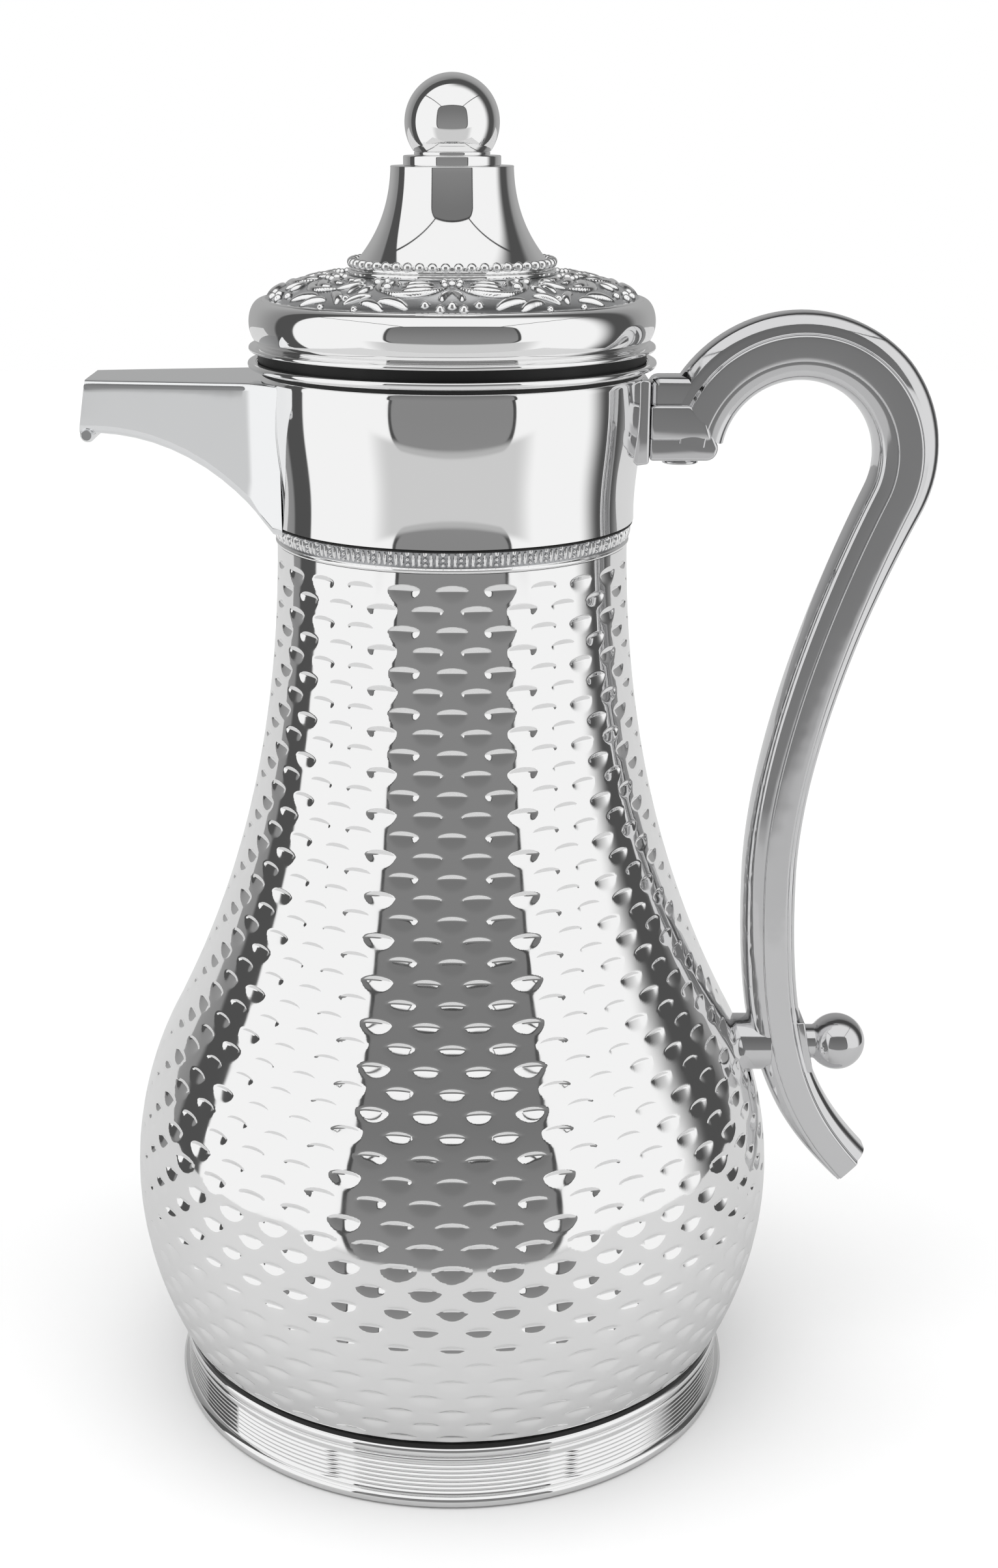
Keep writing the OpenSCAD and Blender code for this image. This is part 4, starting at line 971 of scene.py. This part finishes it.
black_rubber, tree, shader = finish_of("moulded_nitrile_rubber")
bloom = noise(tree, object_place(tree), 120.0, 5.0)
fill(shader, Roughness=0.8, IOR=1.52, Base_Color=mixed(tree, bloom, "#1C1C1E", "#2C2C2D"))
give(black_rubber, "tail_cushion", "mouth_gasket", "spout_gasket")


# ------------------------------------------------------------------ the glass flask
# Two borosilicate glasses joined at the lip, silvered between, with felt pads that
# keep them apart.
silvered, tree, shader = finish_of("silvered_borosilicate_glass")
streak = noise(tree, object_place(tree), 35.0, 5.0)
fill(shader, Base_Color=colour("#D9DDDF"), Metallic=1.0, Coat_Weight=1.0, Coat_Roughness=0.02,
     Roughness=spread(tree, streak, 0.03, 0.12, *NOISE_SPAN))
give(silvered, "liner_outer", "liner_inner")

felt, tree, shader = finish_of("pressed_mineral_felt")
fibre = noise(tree, object_place(tree), 1500.0, 6.0)
fill(shader, Roughness=0.95, Base_Color=mixed(tree, fibre, "#77746B", "#9B978C"),
     Normal=bumped(tree, fibre, 0.6, 0.0002))
give(felt, "liner_pads")

foam, tree, shader = finish_of("expanded_polystyrene_foam")
cells = add_node(tree, "ShaderNodeTexVoronoi", Vector=object_place(tree),
                 Scale=450.0).outputs["Distance"]
fill(shader, Roughness=0.7, Base_Color=mixed(tree, cells, "#F4F3EC", "#E2E0D4"),
     Normal=bumped(tree, cells, 0.5, 0.0003))
give(foam, "stopper_foam")


# ------------------------------------------------------------------ screws, studs and nuts
# Zinc-plated steel, bright but not polished, with the fine lines of drawn wire and
# stamped plate.
zinc, tree, shader = finish_of("drawn_steel_zinc_plated")
drawn = add_node(tree, "ShaderNodeMapping", Vector=object_place(tree),
                 Scale=(900.0, 900.0, 60.0)).outputs[0]
lines = noise(tree, drawn, 1.0, 3.0)
fill(shader, Metallic=1.0, Base_Color=mixed(tree, lines, "#A9ABAD", "#C6C8C9"),
     Roughness=spread(tree, lines, 0.24, 0.40, *NOISE_SPAN))
give(zinc, "base_screws", "socket_nut", "handle_screw", "stud_plate", "lower_stud", "tie_bolt",
     "tie_washer")
